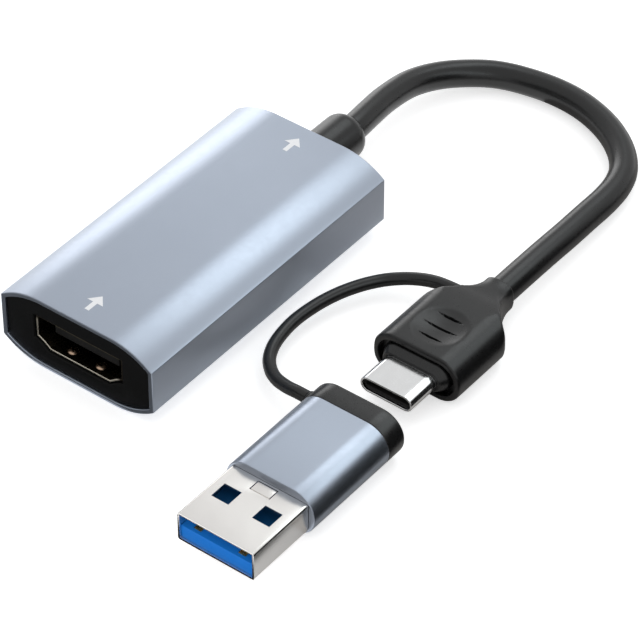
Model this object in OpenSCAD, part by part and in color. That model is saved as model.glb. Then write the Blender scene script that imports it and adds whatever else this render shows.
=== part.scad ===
// Video capture box with a fixed lead, a small reversible plug and a tethered adapter with a wide flat plug.
// Millimetres. The box stands on z = 0 with its middle over the origin. Its video input faces -Y, the lead
// leaves towards +Y, and the plug and the adapter lie beside the box at +X, on one line along Y.

/* [Box] */
// Width of the box across its side walls
box_w = 25.4; // [24:0.1:30]
// Length of the box
box_l = 49; // [46:0.5:70]
// Height of the box
box_h = 11.6; // [11:0.1:14]
// Width of the flat strip along the top and the bottom
flat_w = 11.4; // [9:0.1:14]
// Height of the upright side walls
side_h = 6.8; // [5.5:0.1:8]
// Wall of the aluminium sleeve
sleeve_wall = 0.7; // [0.6:0.05:1.2]
// Thickness of the two end plates
plate_t = 1.6; // [1:0.1:2.4]
// How far the end plates sit inside the sleeve's ends
plate_recess = 0.3; // [0.1:0.05:0.8]

/* [Video socket] */
// Clear width of the socket
socket_w = 14; // [13.5:0.1:14.5]
// Clear height of the socket
socket_h = 4.55; // [4.3:0.05:4.9]
// Length of the socket's metal shell
socket_l = 11; // [10:0.1:13]
// Sheet thickness of the shell
socket_wall = 0.3; // [0.25:0.05:0.5]
// How far the shell sits back from the end plate's face
socket_recess = 0.3; // [0.1:0.05:0.6]
// How far the socket's middle lies under the box's middle
socket_drop = 0.15; // [0:0.05:0.4]
// Width of the contact tongue
tongue_w = 10.8; // [10.2:0.1:11.6]
// Thickness of the contact tongue
tongue_t = 1.3; // [1:0.1:1.6]
// Distance from the shell's front edge to the tongue
tongue_setback = 1.5; // [1.2:0.1:2.6]
// Length of the block behind the tongue
socket_block_l = 3.3; // [2.4:0.1:4]
// Distance between neighbouring contacts in a row
socket_pitch = 1; // [0.9:0.05:1.05]
// Width of a contact
socket_pin_w = 0.3; // [0.2:0.05:0.4]
// Thickness of a contact
socket_pin_t = 0.12; // [0.08:0.02:0.2]
// Width of a soldered leg of the shell
leg_w = 1.4; // [1:0.1:2]
// Distance between the two holding dimples of the shell
dimple_gap = 4.8; // [3:0.1:7]
// Height of a holding dimple
dimple_h = 0.3; // [0.15:0.05:0.4]

/* [Board] */
// Thickness of the main board
board_t = 1; // [0.8:0.1:1.2]
// Side of the square capture chip
capture_w = 9; // [7:0.5:10]
// Height of the capture chip
capture_h = 0.85; // [0.7:0.05:1.2]
// Width of the memory chip
memory_w = 8; // [6:0.5:9]
// Length of the memory chip
memory_l = 6; // [5:0.5:7]
// Height of the memory chip
memory_h = 1; // [0.8:0.1:1.2]
// Length of the firmware chip's body
firmware_l = 4.9; // [4:0.1:5.5]
// Width of the firmware chip's body
firmware_w = 3.9; // [3:0.1:4.4]
// Height of the firmware chip
firmware_h = 1.5; // [1:0.1:1.8]
// Side of a square power inductor
inductor_w = 3; // [2:0.1:3.4]
// Height of a power inductor
inductor_h = 1.5; // [1:0.1:2]
// Length of the clock crystal's can
crystal_l = 3.2; // [2:0.1:3.6]
// Width of the clock crystal's can
crystal_w = 2.5; // [1.6:0.1:2.8]
// Height of the clock crystal's can
crystal_h = 0.7; // [0.5:0.05:1]
// Length of a chip capacitor
capacitor_l = 1.6; // [1:0.1:1.8]
// Width of a chip capacitor
capacitor_w = 0.8; // [0.5:0.1:0.9]
// Length of a chip resistor
resistor_l = 1; // [0.8:0.1:1.2]
// Width of a chip resistor
resistor_w = 0.5; // [0.4:0.1:0.7]

/* [Lead] */
// Diameter of the lead
lead_d = 4; // [3.4:0.1:4.4]
// Diameter of the strain relief on the box
relief_d = 6.8; // [6:0.1:8]
// Length of the strain relief outside its end plate
relief_l = 9.8; // [7:0.1:12]
// Rounding of the strain relief's end
relief_round = 1.8; // [1:0.1:2.2]
// Diameter of the strain relief where it passes through the end plate
relief_neck_d = 5; // [4.6:0.1:5.6]
// Diameter of the strain relief's inner flange
relief_flange_d = 6.4; // [5.8:0.1:7]
// Thickness of the strain relief's inner flange
relief_flange_t = 1.2; // [0.8:0.1:2]
// How deep the lead sits in the strain relief and in the plug
lead_seat = 2; // [1:0.1:3]
// Diameter of an insulated wire inside the box
wire_d = 0.8; // [0.5:0.05:1]

/* [Reversible plug] */
// Distance of the plug's axis from the box's middle
plug_x = 34.7; // [33:0.1:40]
// Width of the plug's body and of the adapter
plug_w = 14; // [13.8:0.1:16]
// Thickness of the plug's body and of the adapter
plug_t = 7; // [6.8:0.1:8]
// Place of the plug body's front rim along the lead
plug_front_y = 1.9; // [1:0.1:3]
// Length of the whole plug body with its neck
plug_l = 18.7; // [18:0.1:22]
// Distance from the front rim to the rounded shoulders seen from above
plug_shoulder_y = 9.6; // [9:0.1:10.5]
// Radius of a rounded shoulder seen from above
shoulder_in_r = 1.6; // [1.2:0.1:3]
// Radius of the hollow sweep into the neck seen from above
shoulder_out_r = 8.5; // [6:0.1:9]
// Distance from the front rim to the sweeps seen from the side
side_sweep_y = 10.1; // [9:0.1:11]
// Radius of both sweeps into the neck seen from the side
side_sweep_r = 14; // [8:0.5:15]
// Width of the neck that holds the lead
neck_w = 4.8; // [4.7:0.1:6]
// Thickness of the neck that holds the lead
neck_t = 4.9; // [4.7:0.1:6]
// Diameter that the neck's corners are rounded to
neck_d = 5.2; // [5:0.1:6.4]
// Radius of the sweep into that rounding
neck_sweep_r = 5; // [4.6:0.1:6]
// Width of the front rim
rim_w = 0.9; // [0.6:0.1:1.1]
// Rounding of the front rim's outer edge
rim_round = 0.35; // [0.2:0.05:0.5]
// Depth of the recess inside the front rim
rim_depth = 1; // [0.6:0.1:1.4]
// Width of the hard core that carries the metal tip
core_w = 10.6; // [10:0.1:11]
// Thickness of the hard core
core_t = 4.4; // [4:0.1:4.6]
// How far the core stands out of the front rim
core_out = 1; // [0.5:0.1:1.5]
// Length of the slope round the core's front
core_slope_l = 1.2; // [0.8:0.1:1.6]
// Height of the core's front face above the metal tip
core_lip = 0.25; // [0.15:0.05:0.4]
// Length of the core
core_l = 8.2; // [8:0.1:9.4]
// Diameter of the round grip dimple
grip_d = 7.5; // [6:0.1:8]
// Depth of the grip dimple
grip_depth = 0.45; // [0.2:0.05:0.5]
// Distance from the front rim to the middle of the grip dimple
grip_y = 5.3; // [4.8:0.1:5.6]
// Distance between the grip grooves
groove_gap = 2.25; // [1.6:0.05:2.4]
// Width of a grip groove
groove_w = 0.4; // [0.2:0.05:0.5]
// Depth of a grip groove under the dimple
groove_depth = 0.4; // [0.2:0.05:0.6]
// Length of the middle grip groove
groove_l = 5.5; // [4:0.1:5.8]
// How much shorter the two outer grooves are
groove_step = 1.5; // [1:0.1:2.4]

/* [Metal tip] */
// Width of the metal tip
tip_w = 8.25; // [8.2:0.05:8.4]
// Thickness of the metal tip
tip_t = 2.4; // [2.35:0.05:2.5]
// Sheet thickness of the metal tip
tip_wall = 0.3; // [0.2:0.05:0.3]
// How far the tip stands out of the core
tip_out = 5.4; // [5.2:0.1:6.8]
// How far the tip reaches into the core
tip_in = 3.7; // [3:0.1:4]
// Distance from the tip's edge to its insulator
tip_setback = 0.6; // [0.3:0.1:1]
// Width of the slot in the insulator
tip_slot_w = 7; // [6.9:0.05:7.1]
// Height of the slot in the insulator
tip_slot_h = 1; // [0.95:0.05:1.1]
// Depth of the slot in the insulator
tip_slot_l = 6; // [5.6:0.1:6.6]
// Distance between neighbouring contacts of the small plug and socket
small_pitch = 0.5; // [0.45:0.01:0.52]
// Width of a contact of the small plug and socket
small_pin_w = 0.25; // [0.15:0.05:0.3]
// Thickness of a contact of the small plug and socket
small_pin_t = 0.04; // [0.02:0.01:0.05]
// Sheet thickness of a latch arm
latch_t = 0.12; // [0.08:0.02:0.14]
// Height of a latch arm
latch_h = 0.7; // [0.5:0.1:0.8]
// Length of a latch arm
latch_l = 4.5; // [3:0.1:5]
// Width of the plug's small board
plug_board_w = 8; // [7:0.1:9]
// Thickness of the small boards in plug and adapter
small_board_t = 0.8; // [0.6:0.1:1]

/* [Adapter] */
// Place of the adapter's cap face along the plug's line, pulled off the plug
cap_face_y = -9.5; // [-14:0.1:-7]
// Length of the cap outside the sleeve
cap_l = 3.5; // [2.6:0.1:4]
// Rounding of the cap's edge
cap_round = 0.6; // [0.3:0.1:1]
// Length of the cap's spigot inside the sleeve
spigot_l = 2.6; // [2:0.1:3]
// Length of the adapter's sleeve
adapter_l = 15.3; // [14.5:0.1:18]
// Wall of the adapter's sleeve
adapter_wall = 0.35; // [0.3:0.05:0.35]
// Thickness of the sleeve's end wall round the wide plug
adapter_end_t = 0.5; // [0.3:0.05:0.8]
// Sheet thickness of the adapter's socket shell
adapter_socket_wall = 0.25; // [0.2:0.05:0.35]
// Length of the adapter's socket shell
adapter_socket_l = 8.3; // [8:0.1:8.8]
// Length of the block behind the socket's tongue
adapter_block_l = 1.3; // [1:0.1:1.4]
// Distance from the cap face to the socket's tongue
adapter_tongue_setback = 1.2; // [0.8:0.1:1.6]
// Width of the socket's tongue
adapter_tongue_w = 6.6; // [6.4:0.05:6.6]
// Thickness of the socket's tongue
adapter_tongue_t = 0.7; // [0.6:0.02:0.7]
// Width of the adapter's board
adapter_board_w = 10; // [8:0.1:11]

/* [Wide plug] */
// Width of the wide plug
wide_w = 12; // [11.9:0.05:12.1]
// Thickness of the wide plug
wide_t = 4.5; // [4.4:0.05:4.5]
// Corner radius of the wide plug
wide_r = 0.35; // [0.3:0.05:0.6]
// Corner radius of the wide plug inside the sleeve
wide_seat_r = 0.9; // [0.9:0.05:1.2]
// Sheet thickness of the wide plug's shell
wide_wall = 0.3; // [0.25:0.05:0.35]
// How far the wide plug stands out of the sleeve
wide_out = 10.8; // [10.5:0.1:12]
// How far the wide plug reaches into the sleeve
wide_in = 5.4; // [5:0.1:5.8]
// Side of a square window in the wide plug's shell
window_w = 2.7; // [1.8:0.1:2.9]
// Distance between the two windows
window_gap = 6.4; // [5.4:0.1:7]
// Distance from the plug's edge to the middle of the windows
window_y = 6.2; // [5.4:0.1:6.6]
// Width of the stamped tab behind the windows
tab_w = 2.9; // [2:0.1:3.2]
// Length of the stamped tab
tab_l = 1.6; // [1:0.1:1.8]
// Width of the cut round the stamped tab and of the fold line at its root
tab_cut = 0.15; // [0.1:0.05:0.25]
// Distance from the plug's edge to the middle of the stamped tab
tab_y = 9.6; // [9:0.1:9.7]
// Thickness of the coloured tongue
wide_tongue_t = 2; // [1.7:0.1:2.2]
// Distance from the shell's edge to the tongue
wide_tongue_setback = 0.3; // [0.1:0.1:0.8]
// Width of a front contact
wide_pin_w = 1.1; // [0.8:0.1:1.3]
// Length of a front contact
wide_pin_l = 3.7; // [2.5:0.1:3.8]
// How much further back the two inner front contacts start
inner_pin_step = 1; // [0.5:0.1:1.5]
// Distance from the plug's edge to the rear contacts
rear_pin_y = 9.5; // [9:0.1:9.6]
// Width of a rear contact
rear_pin_w = 0.7; // [0.5:0.1:0.8]
// Length of a rear contact
rear_pin_l = 1.1; // [0.8:0.1:1.2]
// Thickness of a contact
wide_pin_t = 0.15; // [0.1:0.05:0.25]

/* [Tether] */
// Diameter of the tether
tether_d = 1.8; // [1.4:0.1:2.2]
// Diameter of the moulded stubs at its ends
stub_d = 2.1; // [1.8:0.1:2.6]
// How far the plug's stub reaches from the plug's axis
plug_stub_l = 4.4; // [4:0.1:5]
// Place of the plug's stub behind the plug's front rim
plug_stub_y = 15.6; // [14.5:0.1:16]
// How far the cap's stub stands out of the cap
cap_stub_l = 0.5; // [0.3:0.1:1]
// Place of the cap's stub in front of the cap face
cap_stub_y = 1.5; // [1.2:0.1:1.8]

/* [Clearances] */
// Gap round a piece that is set or moulded into another
seat_gap = 0.05; // [0.02:0.01:0.1]
// Gap between the metal tip and the adapter's socket
tip_gap = 0.1; // [0.06:0.01:0.15]
// Gap between the socket's shell and the front end plate
socket_gap = 0.2; // [0.1:0.05:0.3]
// Gap between the board's lower edges and the sleeve
board_gap = 0.15; // [0.05:0.05:0.3]

/* [Hidden] */
$fn = 48;

aluminium = [0.64, 0.68, 0.74];
black_plastic = [0.09, 0.09, 0.1];
soft_black = [0.2, 0.2, 0.21];
nickel = [0.86, 0.85, 0.83];
gold = [0.85, 0.66, 0.28];
board_green = [0.08, 0.3, 0.18];
chip_black = [0.12, 0.12, 0.13];

// Box: the profile's shoulders are arcs that leave the flat strips tangentially
box_axis_z = box_h / 2;
shoulder_w = (box_w - flat_w) / 2;
shoulder_drop = (box_h - side_h) / 2;
shoulder_r = (shoulder_w * shoulder_w + shoulder_drop * shoulder_drop) / (2 * shoulder_drop);
plate_front_y = -box_l / 2 + plate_recess;
plate_rear_y = box_l / 2 - plate_recess;
inside_front_y = plate_front_y + plate_t;
inside_rear_y = plate_rear_y - plate_t;

// Video socket, whose shell stands on the board
socket_z = box_axis_z - socket_drop;
socket_front_y = plate_front_y + socket_recess;
socket_rear_y = socket_front_y + socket_l;
socket_block_y = socket_rear_y - socket_block_l;
socket_tongue_y = socket_front_y + tongue_setback;
socket_ledge_up = 1.32;
socket_ledge_z = socket_ledge_up - socket_h / 2;
socket_ledge = 1;
socket_ledge_drop = 0.5;
socket_foot_in = 2.05;
socket_outline = [
    [-socket_w / 2 + socket_foot_in, -socket_h / 2], [socket_w / 2 - socket_foot_in, -socket_h / 2],
    [socket_w / 2 - socket_ledge, socket_ledge_z - socket_ledge_drop], [socket_w / 2, socket_ledge_z],
    [socket_w / 2, socket_h / 2], [-socket_w / 2, socket_h / 2],
    [-socket_w / 2, socket_ledge_z], [-socket_w / 2 + socket_ledge, socket_ledge_z - socket_ledge_drop]
];
top_pin_count = 10;
bottom_pin_count = 9;
pin_setback = 0.4;
pin_foot = 1.2;
leg_from_front = 3;
leg_from_rear = 2;
leg_below = 0.5;
dimple_r = 1.1;
dimple_setback = 1.5;

// Board, cut to the width between the sleeve's lower shoulders
board_top = socket_z - socket_h / 2 - socket_wall;
board_bottom = board_top - board_t;
inner_shoulder_r = shoulder_r - sleeve_wall;
board_reach = inner_shoulder_r - (board_bottom - sleeve_wall);
board_half_w = flat_w / 2 + sqrt(inner_shoulder_r * inner_shoulder_r - board_reach * board_reach) - board_gap;
board_front_y = inside_front_y + seat_gap;
relief_inner_y = inside_rear_y - seat_gap - relief_flange_t;
board_rear_y = relief_inner_y - 2 * board_gap;
part_gap = 0.8;
pins_end_y = socket_rear_y + 2 * socket_pin_t + pin_foot;
capture_y = pins_end_y + 2 * part_gap + capacitor_w + capture_w / 2;
memory_y = capture_y + capture_w / 2 + part_gap + memory_l / 2;
chip_x = -board_half_w + 2 * part_gap + capacitor_w + max(capture_w, memory_w) / 2;
side_x = chip_x + max(capture_w, memory_w) / 2 + part_gap;
firmware_lead_count = 4;
firmware_lead_pitch = 1.27;
firmware_lead_l = 1.05;
firmware_lead_w = 0.4;
firmware_standoff = 0.2;
resistor_count = 5;
resistor_pitch = 1.1;
inductor_r = 0.5;
crystal_r = 0.4;

// Lead and its wires
relief_y = plate_rear_y;
lead_bore_d = lead_d + 2 * seat_gap;
lead_route = [
    [0, 32, 5.8], [0, 34.5, 5.8], [-0.5, 38.6, 5.5], [-1, 43.1, 5], [-1, 48.6, 4.2], [0.3, 53.2, 3.4],
    [2.7, 57, 2.7], [6.1, 59.9, 2.3], [10.6, 61.5, 2.1], [15.6, 62, 2.1], [20.4, 61.4, 2.1],
    [25.2, 59.6, 2.1], [29.3, 56.8, 2.1], [32.1, 53.5, 2.1], [33.5, 50, 2.2], [34.1, 46, 2.4],
    [34.3, 41, 2.7], [34.5, 36, 3], [34.6, 31, 3.3], [34.7, 26, 3.5], [34.7, 22, 3.5], [34.7, 18.6, 3.5]
];
lead_sides = 12;
wire_count = 6;
wire_pitch = 1.7;
wire_spread = 0.9;
wire_run = 2.2;
wire_fall = 6.6;
wire_steps = 6;
wire_sides = 8;

// Plug
plug_axis = plug_t / 2;
plug_end_y = plug_front_y + plug_l;
core_front_y = plug_front_y - core_out;
core_rear_y = core_front_y + core_l;
tip_front_y = core_front_y - tip_out;
tip_rear_y = core_front_y + tip_in;
tip_insulator_y = tip_front_y + tip_setback;
tip_slot_end_y = tip_insulator_y + tip_slot_l;
tip_bore_w = tip_w - 2 * tip_wall;
tip_bore_t = tip_t - 2 * tip_wall;
small_pins = 12;
tip_pin_l = 4.6;
tip_pin_setback = 0.7;
arc_steps = 10;
neck_end_l = 0.5;
neck_sweep_y = plug_l - neck_end_l - shoulder_in_r - neck_sweep_r;
neck_start_r = neck_d / 2 + shoulder_in_r + neck_sweep_r;
grip_r = (grip_d * grip_d / 4 + grip_depth * grip_depth) / (2 * grip_depth);

// Adapter
cap_seam_y = cap_face_y - cap_l;
adapter_front_y = cap_seam_y - adapter_l;
spigot_y = cap_seam_y - spigot_l;
adapter_bore_w = plug_w - 2 * adapter_wall;
adapter_bore_t = plug_t - 2 * adapter_wall;
adapter_socket_y = cap_face_y - tip_gap;
adapter_socket_rear_y = adapter_socket_y - adapter_socket_l;
adapter_block_y = adapter_socket_rear_y + adapter_block_l;
adapter_socket_w = tip_w + 2 * tip_gap;
adapter_socket_t = tip_t + 2 * tip_gap;
adapter_tongue_y = cap_face_y - adapter_tongue_setback;
adapter_pin_l = 4;
adapter_pin_setback = 0.6;

// Wide plug
wide_front_y = adapter_front_y - wide_out;
wide_rear_y = adapter_front_y + wide_in;
wide_bore_t = wide_t - 2 * wide_wall;
wide_floor_z = plug_axis - wide_bore_t / 2;
wide_tongue_y = wide_front_y + wide_tongue_setback;
wide_seat_y = adapter_front_y - seat_gap;
outer_pin_x = 3.5;
inner_pin_x = 1;
wide_pin_setback = 0.5;
rear_pin_count = 5;
rear_pin_pitch = 2;

// Tether, from the plug's stub to the cap's stub
tether_route = [
    [30.3, 17.5, 3.5], [28.4, 17.5, 3.4], [26.4, 17.4, 3.2], [24.3, 16.9, 2.9], [22.2, 15.9, 2.6],
    [20.2, 14.2, 2.4], [18.5, 11.6, 2.4], [17.1, 8.3, 2.4], [16.2, 4.5, 2.4], [15.9, 0.2, 2.4],
    [16.5, -4, 2.4], [17.7, -6.9, 2.4], [19.3, -8.7, 2.4], [21.1, -9.8, 2.5], [23.3, -10.5, 2.9],
    [25.3, -10.9, 3.4], [27.2, -11, 3.5]
];
tether_sides = 8;

// An outline drawn outwards by g, for an outline that runs counterclockwise
function unit(v) = v / norm(v);
function outward(a, b) = let (d = unit(b - a)) [d[1], -d[0]];
function grown(pts, g) = let (n = len(pts)) [
    for (i = [0 : n - 1])
        let (a = outward(pts[(i + n - 1) % n], pts[i]), b = outward(pts[i], pts[(i + 1) % n]))
            pts[i] + g * (a + b) / (1 + a * b)
];
function arc(centre, r, from, to) = [
    for (i = [0 : arc_steps])
        let (a = from + (to - from) * i / arc_steps)
            centre + r * [cos(a), sin(a)]
];

// A sweep from half width h0 to h1: a rounded shoulder of radius ra, then a hollow one of radius rb
function sweep_in(h0, h1, y, ra, rb) =
    let (dx = ra + rb - (h0 - h1), dy = sqrt((ra + rb) * (ra + rb) - dx * dx), turn = atan2(dy, dx))
        concat(arc([h0 - ra, y], ra, 0, turn), arc([h1 + rb, y + dy], rb, 180 + turn, 180));
function mirrored(pts) = [for (i = [len(pts) - 1 : -1 : 0]) [-pts[i][0], pts[i][1]]];
function plug_side(h0, h1, y, ra, rb) =
    concat([[h0, plug_front_y]], sweep_in(h0, h1, plug_front_y + y, ra, rb), [[h1, plug_end_y + plug_l]]);
function plug_outline(h0, h1, y, ra, rb) =
    let (half = plug_side(h0, h1, y, ra, rb))
        concat(half, mirrored(half));

// A tube along a route, with its two ends square to the given directions
function heading(route, i, first, last) =
    i == 0 ? first : i == len(route) - 1 ? last : unit(route[i + 1] - route[i - 1]);
function tube_points(route, r, sides, first, last) = [
    for (i = [0 : len(route) - 1])
        let (t = heading(route, i, first, last), s = unit(cross(t, [0, 0, 1])), u = cross(s, t))
            for (k = [0 : sides - 1])
                route[i] + r * (cos(360 * k / sides) * s + sin(360 * k / sides) * u)
];
function tube_faces(rings, sides) = concat(
    [for (k = [1 : sides - 2]) [0, k + 1, k]],
    [for (k = [1 : sides - 2]) [0, k, k + 1] + (rings - 1) * sides * [1, 1, 1]],
    [for (i = [0 : rings - 2], k = [0 : sides - 1])
        [i * sides + k, i * sides + (k + 1) % sides, (i + 1) * sides + (k + 1) % sides]],
    [for (i = [0 : rings - 2], k = [0 : sides - 1])
        [i * sides + k, (i + 1) * sides + (k + 1) % sides, (i + 1) * sides + k]]
);
module tube(route, d, sides, first, last) {
    polyhedron(tube_points(route, d / 2, sides, first, last), tube_faces(len(route), sides));
}

// A flat shape in x and z, drawn out along Y between two places
module along_y(y0, y1) {
    translate([0, y1, 0])
        rotate([90, 0, 0])
            linear_extrude(y1 - y0)
                children();
}

// The plug's line, where the plug and the adapter lie
module on_plug_line() {
    translate([plug_x, 0, plug_axis])
        children();
}

// A flat oval with round ends
module oval(w, t) {
    square([w - t, t], center = true);
    for (side = [-1, 1])
        translate([side * (w - t) / 2, 0])
            circle(d = t);
}

// A flat oval along Y from y0, whose lengthwise profile is given by one half of it
module profiled_oval(y0, w, t) {
    translate([0, y0, 0])
        rotate([-90, 0, 0]) {
            rotate([90, 0, 90])
                linear_extrude(w - t, center = true)
                    for (side = [0, 1])
                        mirror([side, 0])
                            children();
            for (side = [-1, 1])
                translate([side * (w - t) / 2, 0, 0])
                    rotate_extrude()
                        children();
        }
}

// Half of a profile whose far corner is rounded
module rounded_edge(half, length, r) {
    square([half, length - r]);
    square([half - r, length]);
    translate([half - r, length - r])
        circle(r);
}

// Half of a profile whose far corner is sloped over a run along it and a drop across it
module sloped_edge(half, length, run, drop) {
    polygon([[0, 0], [half, 0], [half, length - run], [half - drop, length], [0, length]]);
}

// A rectangle with round corners
module rounded(w, h, r) {
    square([w - 2 * r, h], center = true);
    square([w, h - 2 * r], center = true);
    for (x = [-1, 1], y = [-1, 1])
        translate([x * (w / 2 - r), y * (h / 2 - r)])
            circle(r);
}

// The box's cross-section, drawn inwards by inset
module box_profile(inset) {
    half_w = box_w / 2 - inset;
    half_h = box_h / 2 - inset;
    r = shoulder_r - inset;
    translate([0, box_axis_z]) {
        square([flat_w, 2 * half_h], center = true);
        for (side = [0, 1])
            mirror([side, 0])
                intersection() {
                    translate([flat_w / 2, -half_h])
                        square([half_w - flat_w / 2, 2 * half_h]);
                    translate([flat_w / 2, half_h - r])
                        circle(r, $fn = 180);
                    translate([flat_w / 2, r - half_h])
                        circle(r, $fn = 180);
                }
    }
}

// Extruded aluminium sleeve, open at both ends
module housing_sleeve() {
    color(aluminium)
        difference() {
            along_y(-box_l / 2, box_l / 2)
                box_profile(0);
            along_y(-box_l / 2 - 1, box_l / 2 + 1)
                box_profile(sleeve_wall);
        }
}

// Front end plate with the video socket's cut-out
module front_end_plate() {
    color(black_plastic)
        difference() {
            along_y(plate_front_y, inside_front_y)
                box_profile(sleeve_wall + seat_gap);
            along_y(plate_front_y - 1, inside_front_y + 1)
                translate([0, socket_z])
                    polygon(grown(socket_outline, socket_wall + socket_gap));
        }
}

// Rear end plate with the strain relief's hole
module rear_end_plate() {
    color(black_plastic)
        difference() {
            along_y(inside_rear_y, plate_rear_y)
                box_profile(sleeve_wall + seat_gap);
            along_y(inside_rear_y - 1, plate_rear_y + 1)
                translate([0, box_axis_z])
                    circle(d = relief_neck_d + 2 * seat_gap);
        }
}

// Places of the shell's four soldered legs
module at_legs() {
    for (side = [-1, 1], y = [socket_front_y + leg_from_front, socket_rear_y - leg_from_rear])
        translate([side * (socket_w + socket_wall) / 2, y, board_bottom - leg_below])
            children();
}

// Folded steel shell of the video socket, with holding dimples and legs
module video_socket_shell() {
    leg_h = socket_z - board_bottom + leg_below;
    color(nickel) {
        difference() {
            along_y(socket_front_y, socket_rear_y)
                translate([0, socket_z])
                    polygon(grown(socket_outline, socket_wall));
            along_y(socket_front_y - 1, socket_rear_y + 1)
                translate([0, socket_z])
                    polygon(socket_outline);
        }
        at_legs()
            translate([-socket_wall / 2, -leg_w / 2, 0])
                cube([socket_wall, leg_w, leg_h]);
        for (side = [-1, 1])
            intersection() {
                translate([side * dimple_gap / 2, socket_front_y + dimple_setback,
                           socket_z - socket_h / 2 + dimple_h - dimple_r])
                    sphere(dimple_r);
                translate([-socket_w / 2, socket_front_y + dimple_setback - dimple_r,
                           socket_z - (socket_h + socket_wall) / 2])
                    cube([socket_w, 2 * dimple_r, dimple_h + socket_wall]);
            }
    }
}

// Places of the video socket's contacts: ten above the tongue and nine below
module at_socket_pins(row) {
    count = row > 0 ? top_pin_count : bottom_pin_count;
    for (i = [0 : count - 1])
        translate([(i - (count - 1) / 2) * socket_pitch, 0, 0])
            children();
}

// One contact: along the tongue, through the block and down to the board
module socket_pin(row) {
    run_z = row > 0 ? socket_z + tongue_t / 2 : socket_z - tongue_t / 2 - socket_pin_t;
    drop_y = socket_rear_y + socket_pin_t;
    translate([-socket_pin_w / 2, socket_tongue_y + pin_setback, run_z])
        cube([socket_pin_w, drop_y + socket_pin_t - socket_tongue_y - pin_setback, socket_pin_t]);
    translate([-socket_pin_w / 2, drop_y, board_top])
        cube([socket_pin_w, socket_pin_t, run_z + socket_pin_t - board_top]);
    translate([-socket_pin_w / 2, drop_y, board_top])
        cube([socket_pin_w, pin_foot, socket_pin_t]);
}

// Moulded block and tongue of the video socket, with a channel for each contact
module video_socket_insulator() {
    color(chip_black)
        difference() {
            union() {
                along_y(socket_block_y, socket_rear_y)
                    translate([0, socket_z])
                        polygon(grown(socket_outline, -seat_gap));
                along_y(socket_tongue_y, socket_block_y)
                    translate([0, socket_z])
                        square([tongue_w, tongue_t], center = true);
            }
            for (row = [-1, 1])
                at_socket_pins(row)
                    translate([0, (socket_block_y + socket_rear_y) / 2,
                               socket_z + row * (tongue_t + socket_pin_t + seat_gap) / 2])
                        cube([socket_pin_w + 2 * seat_gap, socket_block_l + 1, socket_pin_t + seat_gap],
                             center = true);
        }
}

// Contacts of the video socket
module video_socket_contacts() {
    color(gold)
        for (row = [-1, 1])
            at_socket_pins(row)
                socket_pin(row);
}

// Main board with slots for the socket's legs
module main_board() {
    color(board_green)
        difference() {
            translate([-board_half_w, board_front_y, board_bottom])
                cube([2 * board_half_w, board_rear_y - board_front_y, board_t]);
            at_legs()
                linear_extrude(leg_below + 2 * board_t)
                    square([socket_wall + 2 * board_gap, leg_w + 2 * board_gap], center = true);
        }
}

// A block that stands on the board, centred at x and y
module on_board(x, y, w, l, h) {
    translate([x - w / 2, y - l / 2, board_top])
        cube([w, l, h]);
}

// Flat square chip that reads the video signal
module capture_chip() {
    color(chip_black)
        on_board(chip_x, capture_y, capture_w, capture_w, capture_h);
}

// Memory chip behind it
module memory_chip() {
    color(chip_black)
        on_board(chip_x, memory_y, memory_w, memory_l, memory_h);
}

// Small firmware chip with four leads on each long side
module firmware_chip() {
    x = side_x + firmware_lead_l + firmware_w / 2;
    color(chip_black) {
        translate([x - firmware_w / 2, memory_y - firmware_l / 2, board_top + firmware_standoff])
            cube([firmware_w, firmware_l, firmware_h - firmware_standoff]);
        for (i = [0 : firmware_lead_count - 1])
            on_board(x, memory_y + (i - (firmware_lead_count - 1) / 2) * firmware_lead_pitch,
                     firmware_w + 2 * firmware_lead_l, firmware_lead_w, firmware_h / 2);
    }
}

// Metal can of the clock crystal
module clock_crystal() {
    color(nickel)
        translate([side_x + crystal_l / 2, capture_y - capture_w / 4, board_top])
            linear_extrude(crystal_h)
                rounded(crystal_l, crystal_w, crystal_r);
}

// Two shielded power inductors
module power_inductors() {
    color(chip_black)
        for (i = [0, 1])
            translate([side_x + inductor_w / 2 + i * (inductor_w + part_gap), capture_y + capture_w / 4,
                       board_top])
                linear_extrude(inductor_h)
                    rounded(inductor_w, inductor_w, inductor_r);
}

// Chip capacitors beside the capture chip and in front of it
module ceramic_capacitors() {
    row = floor(capture_w / (capacitor_l + part_gap));
    x = chip_x - max(capture_w, memory_w) / 2 - part_gap - capacitor_w / 2;
    y = capture_y - capture_w / 2 - part_gap - capacitor_w / 2;
    color([0.62, 0.5, 0.36])
        for (i = [0 : row - 1]) {
            step = (i - (row - 1) / 2) * (capacitor_l + part_gap);
            on_board(x, capture_y + step, capacitor_w, capacitor_l, capacitor_w);
            on_board(chip_x + step, y, capacitor_l, capacitor_w, capacitor_w);
        }
}

// Chip resistors in a row behind the socket
module chip_resistors() {
    color(chip_black)
        for (i = [0 : resistor_count - 1])
            on_board(side_x + resistor_w / 2 + i * resistor_pitch, capture_y - capture_w / 2 - part_gap,
                     resistor_w, resistor_l, resistor_w);
}

// The wires' way from the strain relief's flange down to their pads on the board
function wire_route(i) =
    let (k = i - (wire_count - 1) / 2, top = [k * wire_spread, relief_inner_y, box_axis_z],
         pad = [k * wire_pitch, board_rear_y - wire_fall, board_top + wire_d / 2 + seat_gap])
        concat(
            [for (n = [0 : wire_steps])
                let (s = n / wire_steps, e = s * s * (3 - 2 * s), y = top[1] + s * (pad[1] - top[1]))
                    [top[0] + e * (pad[0] - top[0]), y, top[2] + e * (pad[2] - top[2])]],
            [pad - [0, wire_run, 0]]
        );

// Insulated wires of the lead, soldered to the board
module cable_wires() {
    color([0.72, 0.2, 0.16])
        for (i = [0 : wire_count - 1])
            tube(wire_route(i), wire_d, wire_sides, [0, -1, 0], [0, -1, 0]);
}

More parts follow.
